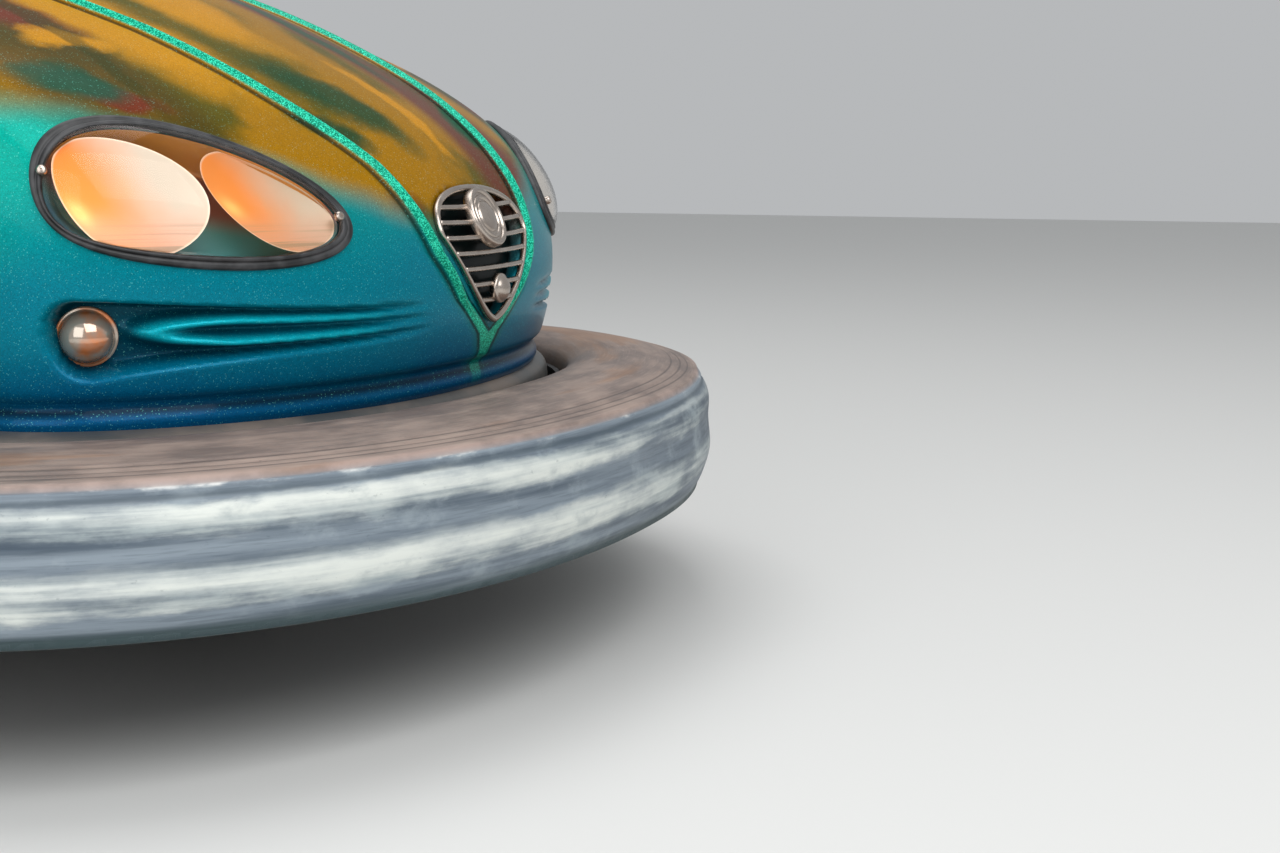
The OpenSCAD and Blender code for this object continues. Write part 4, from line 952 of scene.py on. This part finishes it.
# The roll is a tube carried round the rim, moved in by its own radius, with a raised welt
# on one side. Its section stands upright and square to the rim in plan.
roll_r, skirt_fall = 13, 58
round_the_rim = np.linspace(0, 360, 301)[None, :]
section = np.linspace(0, 2 * np.pi, 41)[:, None]
welt = 1 + 0.10 * swell(np.arange(41), 6, 1.2)[:, None]
outwards = rim(round_the_rim, 10) - rim(round_the_rim, 0)
outwards[..., 2] = 0
outwards /= np.linalg.norm(outwards, axis=-1, keepdims=True)
roll = rim(round_the_rim, -roll_r - 0.3) + (0, 0, 2) + outwards * (roll_r * np.cos(section) * welt)[..., None]
roll[..., 2] += roll_r * np.sin(section)
vinyl = Finish("rolled_vinyl")
rubbed = vinyl.noise(10.0, 5, 0.6)
vinyl.two_tone(rubbed, 0.45, 0.7, tint(22, 22, 24), tint(48, 46, 46), 0.34, 0.25)
vinyl.bump(vinyl.cells(620.0).ramp(0.0, 0.15) + rubbed * 0.3, 0.3, 0.0005)
dress(surface("cockpit_edge", roll), vinyl, "root", "edge_vinyl", "cockpit_trim")
fall = np.linspace(0, skirt_fall, 8)[:, None]
apron = rim(round_the_rim + 0 * fall, -18 - 0.06 * fall)
apron[..., 2] -= fall
dress(surface("cockpit_apron", apron, flip=True, wall=2), vinyl, "root", "edge_vinyl")


# Seat: a moulded glass-fibre box and back board with two cushions of stuffed vinyl, each
# sewn in channels. The cover is pulled over foam, so it crowns between its seams.
moulding = Finish("seat_moulding", coat_weight=0.3)
mottle = moulding.noise(16.0, 5, 0.6)
moulding.two_tone(mottle, 0.4, 0.65, tint(38, 40, 43), tint(60, 61, 63), 0.4, 0.3)
moulding.bump(moulding.noise(260.0), 0.15, 0.0006)
coat(moulding, "seat_box")


def inflated(piece, cap, voxel=0.006, frames=20):
    """Voxels, then cloth under pressure for some frames with each point held within the
    cap, then one subdivision, all applied."""
    def applied():
        shaped = piece.evaluated_get(bpy.context.evaluated_depsgraph_get())
        fresh = bpy.data.meshes.new_from_object(shaped)
        piece.modifiers.clear()
        piece.data = fresh

    remesh = piece.modifiers.new("voxels", "REMESH")
    remesh.mode, remesh.voxel_size = "VOXEL", voxel
    applied()
    count = len(piece.data.vertices)
    start = np.zeros(count * 3, np.float32)
    piece.data.vertices.foreach_get("co", start)
    cloth = piece.modifiers.new("pressure", "CLOTH")
    cloth.settings.use_pressure = True
    cloth.settings.uniform_pressure_force = 4
    cloth.settings.effector_weights.gravity = 0
    for number in range(1, frames + 1):
        bpy.context.scene.frame_set(number)
    swollen = piece.evaluated_get(bpy.context.evaluated_depsgraph_get()).to_mesh()
    end = np.zeros(count * 3, np.float32)
    swollen.vertices.foreach_get("co", end)
    move = (end - start).reshape(-1, 3)
    far = np.linalg.norm(move, axis=1, keepdims=True)
    move *= np.minimum(1, cap / 1000 / np.maximum(far, 1e-9))
    piece.modifiers.clear()
    piece.data.vertices.foreach_set("co", (start.reshape(-1, 3) + move).ravel())
    bpy.context.scene.frame_set(1)
    finer = piece.modifiers.new("finer", "SUBSURF")
    finer.levels = finer.render_levels = 1
    applied()


def cushion(name, node, half_wide, half_deep, half_thick, channels, place,
            swell_by=9, seam_in=46, seam_deep=8):
    """A squared ellipsoid a little smaller than its space, inflated, then sewn: the face
    sinks along each channel and round the border, and place carries it to its seat."""
    a, b = np.meshgrid(np.linspace(-np.pi, np.pi, 145), np.linspace(-np.pi / 2, np.pi / 2, 73))
    block = np.stack([(half_wide - swell_by) * signed_power(np.cos(b), 0.3) * signed_power(np.cos(a), 0.24),
                      (half_deep - swell_by) * signed_power(np.cos(b), 0.3) * signed_power(np.sin(a), 0.24),
                      (half_thick - 8) * signed_power(np.sin(b), 0.42)], -1)
    piece = surface(name, block)
    inflated(piece, swell_by)
    at = np.zeros(len(piece.data.vertices) * 3, np.float32)
    piece.data.vertices.foreach_get("co", at)
    at = at.reshape(-1, 3) * 1000
    upper = eased(at[:, 2], half_thick * 0.1, half_thick * 0.55)
    inside = 1 - eased(np.abs(at[:, 0]), half_wide - 52, half_wide - 44)
    inside *= 1 - eased(np.abs(at[:, 1]), half_deep - 52, half_deep - 44)
    seams = np.max([swell(at[:, 0], line, 5.5) for line in channels], axis=0) * inside
    border_x, border_y = np.abs(at[:, 0]) - (half_wide - seam_in), np.abs(at[:, 1]) - (half_deep - seam_in)
    border = np.maximum(swell(border_x, 0, 5), swell(border_y, 0, 5)) * ((border_x < 4) & (border_y < 4))
    at[:, 2] -= upper * seam_deep * np.maximum(seams, border)
    piping = swell(at[:, 2], half_thick * 0.62, 3.2) * (1 - inside)
    at[:, :2] *= 1 + 0.008 * piping[:, None]
    at[:, 2] = np.clip(at[:, 2], -half_thick + 0.5, half_thick)
    piece.data.vertices.foreach_set("co", (place(at) / 1000).astype(np.float32).ravel())
    piece.data.polygons.foreach_set("use_smooth", np.ones(len(piece.data.polygons), bool))
    piece.data.update()
    dress(piece, vinyl, "root", "seat_vinyl", node)


def against_back(at):
    """The cushion stood up on its edge, facing forwards, and leant with the back board."""
    lean = math.atan2(45, 340)
    ahead, up = -37.8 - at[:, 2], 229.5 + at[:, 1]
    y = 438 + ahead * math.cos(lean) + up * math.sin(lean)
    return np.stack([at[:, 0], y, 340 - ahead * math.sin(lean) + up * math.cos(lean)], -1)


cushion("seat_cushion_cover", "seat_cushion", 304, 138, 37.5, np.linspace(-210, 210, 7),
        lambda at: at + (0, 290, 407.8))
cushion("seat_back_cover", "seat_back_cushion", 250, 112.5, 37.5, np.linspace(-165, 165, 6), against_back)


# Steering wheel: a steel shaft, a padded hub and three pressed spokes in a moulded grip
# with finger waves on its far side.
column_slope = math.radians(28)


def on_column(points):
    """Points about the column's axis, tipped back by its slope and carried to the wheel's
    centre."""
    x, y, z = points[..., 0], points[..., 1], points[..., 2]
    back = -40 + y * math.sin(column_slope) + z * math.cos(column_slope)
    return np.stack([x, back, 600 - y * math.cos(column_slope) + z * math.sin(column_slope)], -1)


grip = Finish("wheel_grip_rubber")
polish = grip.noise(12.0, 4)
grip.two_tone(polish, 0.4, 0.7, tint(20, 20, 21), tint(46, 45, 44), 0.36, 0.3)
grip.bump(grip.cells(520.0).ramp(0.0, 0.12), 0.35, 0.0005)

# The grip is a torus whose tube radius sinks a little in 36 waves on its far side and in a
# fine line round both of its sides.
wheel_r, tube_r = 151, 14
turn_of, round_of = np.meshgrid(np.linspace(0, 2 * np.pi, 289), np.linspace(0, 2 * np.pi, 37))
waves = 0.05 * (1 + np.cos(36 * turn_of)) * np.clip(-np.sin(round_of), 0, 1)
grip_r = tube_r * (1 - waves - 0.03 * swell(np.sin(round_of), 0, 0.08))
from_axis = wheel_r + grip_r * np.cos(round_of)
torus = np.stack([from_axis * np.cos(turn_of), from_axis * np.sin(turn_of), grip_r * np.sin(round_of)], -1)
dress(surface("steering_grip", on_column(torus), flip=True), grip, "steering_wheel", "wheel_grip",
      "steering_wheel")

# A spoke is a flat squared oval carried outwards. It narrows and thins, rises to the grip
# and has a pressed groove along its face.
reach_of, across_of = np.meshgrid(np.linspace(0, 1, 30), np.linspace(0, 2 * np.pi, 33))
is_open = np.where((reach_of > 0) & (reach_of < 1), 1.0, 0.0)
along = 30 + 117 * reach_of
wide = (17 - 7 * eased(reach_of, 0, 0.7)) * is_open * signed_power(np.cos(across_of), 0.5)
thick = -8 + 6 * eased(reach_of, 0.1, 0.9)
thick += (4 - 0.8 * reach_of) * is_open * signed_power(np.sin(across_of), 0.7)
thick -= 1.6 * is_open * swell(wide, 0, 4.5) * (np.sin(across_of) > 0.2)
for number in range(3):
    angle = math.radians(90 + 120 * number)
    spoke = np.stack([along * math.cos(angle) - wide * math.sin(angle),
                      along * math.sin(angle) + wide * math.cos(angle), thick], -1)
    dress(surface(f"steering_spoke_{number + 1}", on_column(spoke)), axle_steel, "steering_wheel",
          "bright_metal")
hub_shape, _ = rounded([(0, 6), (22, 6), (27, 3), (30, 5), (38, 3), (40, -3), (40, -30), (36, -34), (0, -34)],
                       1.6, 2, closed=False)
hub = spun(hub_shape, (0, 0, 0), (0, 0, 1), 72)
dress(surface("steering_hub", on_column(hub), sharp=45), grip, "steering_wheel", "wheel_grip")
shaft = spun([(0, -34), (11, -34), (11, -494), (9.5, -496), (0, -496)], (0, 0, 0), (0, 0, 1), 40)
dress(surface("steering_shaft", on_column(shaft), sharp=40), axle_steel, "steering_wheel", "bright_metal")


# Pole: a galvanised tube in a socket behind the seat, with a sprung contact bow of bronze
# strip that slides on the ceiling net.
zinc = Finish("galvanised_tube", metallic=0.85)
spangle, grime = zinc.flakes(90.0), zinc.noise(8.0, 5, 0.6, way=(6, 6, 1))
zinc.look(roughness=0.32 + spangle * 0.14 + grime * 0.15, base_color=zinc.layers(
    tint(128, 132, 136), (spangle, tint(164, 168, 172)), (grime.ramp(0.5, 0.75), tint(92, 84, 76))))
coat(zinc, "pole")
coat(black_paint, "pole_socket")
bronze = Finish("contact_bronze", metallic=0.95)
tarnish = bronze.noise(18.0, 5, 0.6, way=(8, 1, 1))
bronze.two_tone(tarnish, 0.4, 0.65, tint(176, 124, 66), tint(96, 70, 44), 0.28, 0.3)
bronze.bump(tarnish, 0.2, 0.0006)
coat(bronze, "contact_bow")


# Floor and light: a plain pale floor under a large soft lamp at the front right of the car,
# a weaker one at its right side, a third above it, and an even pale world.
slab = bpy.data.meshes.new("floor")
slab.from_pydata([(-9, -9, 0), (9, -9, 0), (9, 9, 0), (-9, 9, 0)], [], [(0, 1, 2, 3)])
slab.materials.append(Finish("pale_floor", base_color=tint(214, 214, 212), roughness=0.7).material)
floor = bpy.data.objects.new("floor", slab)
bpy.context.scene.collection.objects.link(floor)
for name, spot, aim, size, power in (
        ("key_lamp", (-1.6, -2.6, 2.6), (-0.2, -0.6, 0.35), 2.6, 74),
        ("fill_lamp", (-3.2, -0.6, 1.4), (-0.2, -0.4, 0.3), 2.2, 34),
        ("top_lamp", (0.6, 0.4, 4.2), (0, 0, 0.4), 3.0, 60)):
    light = bpy.data.lights.new(name, "AREA")
    light.size, light.energy = size, power
    lamp = bpy.data.objects.new(name, light)
    lamp.location = spot
    direction = np.array(spot) - np.array(aim)
    lamp.rotation_euler = (math.acos(direction[2] / np.linalg.norm(direction)), 0,
                           math.atan2(direction[1], direction[0]) + math.pi / 2)
    bpy.context.scene.collection.objects.link(lamp)
world = bpy.data.worlds.new("studio")
bpy.context.scene.world = world
world.use_nodes = True
sky = world.node_tree.nodes["Background"].inputs
sky["Color"].default_value = (0.86, 0.88, 0.90, 1)
sky["Strength"].default_value = 0.55
bpy.context.scene.view_settings.view_transform = "Standard"
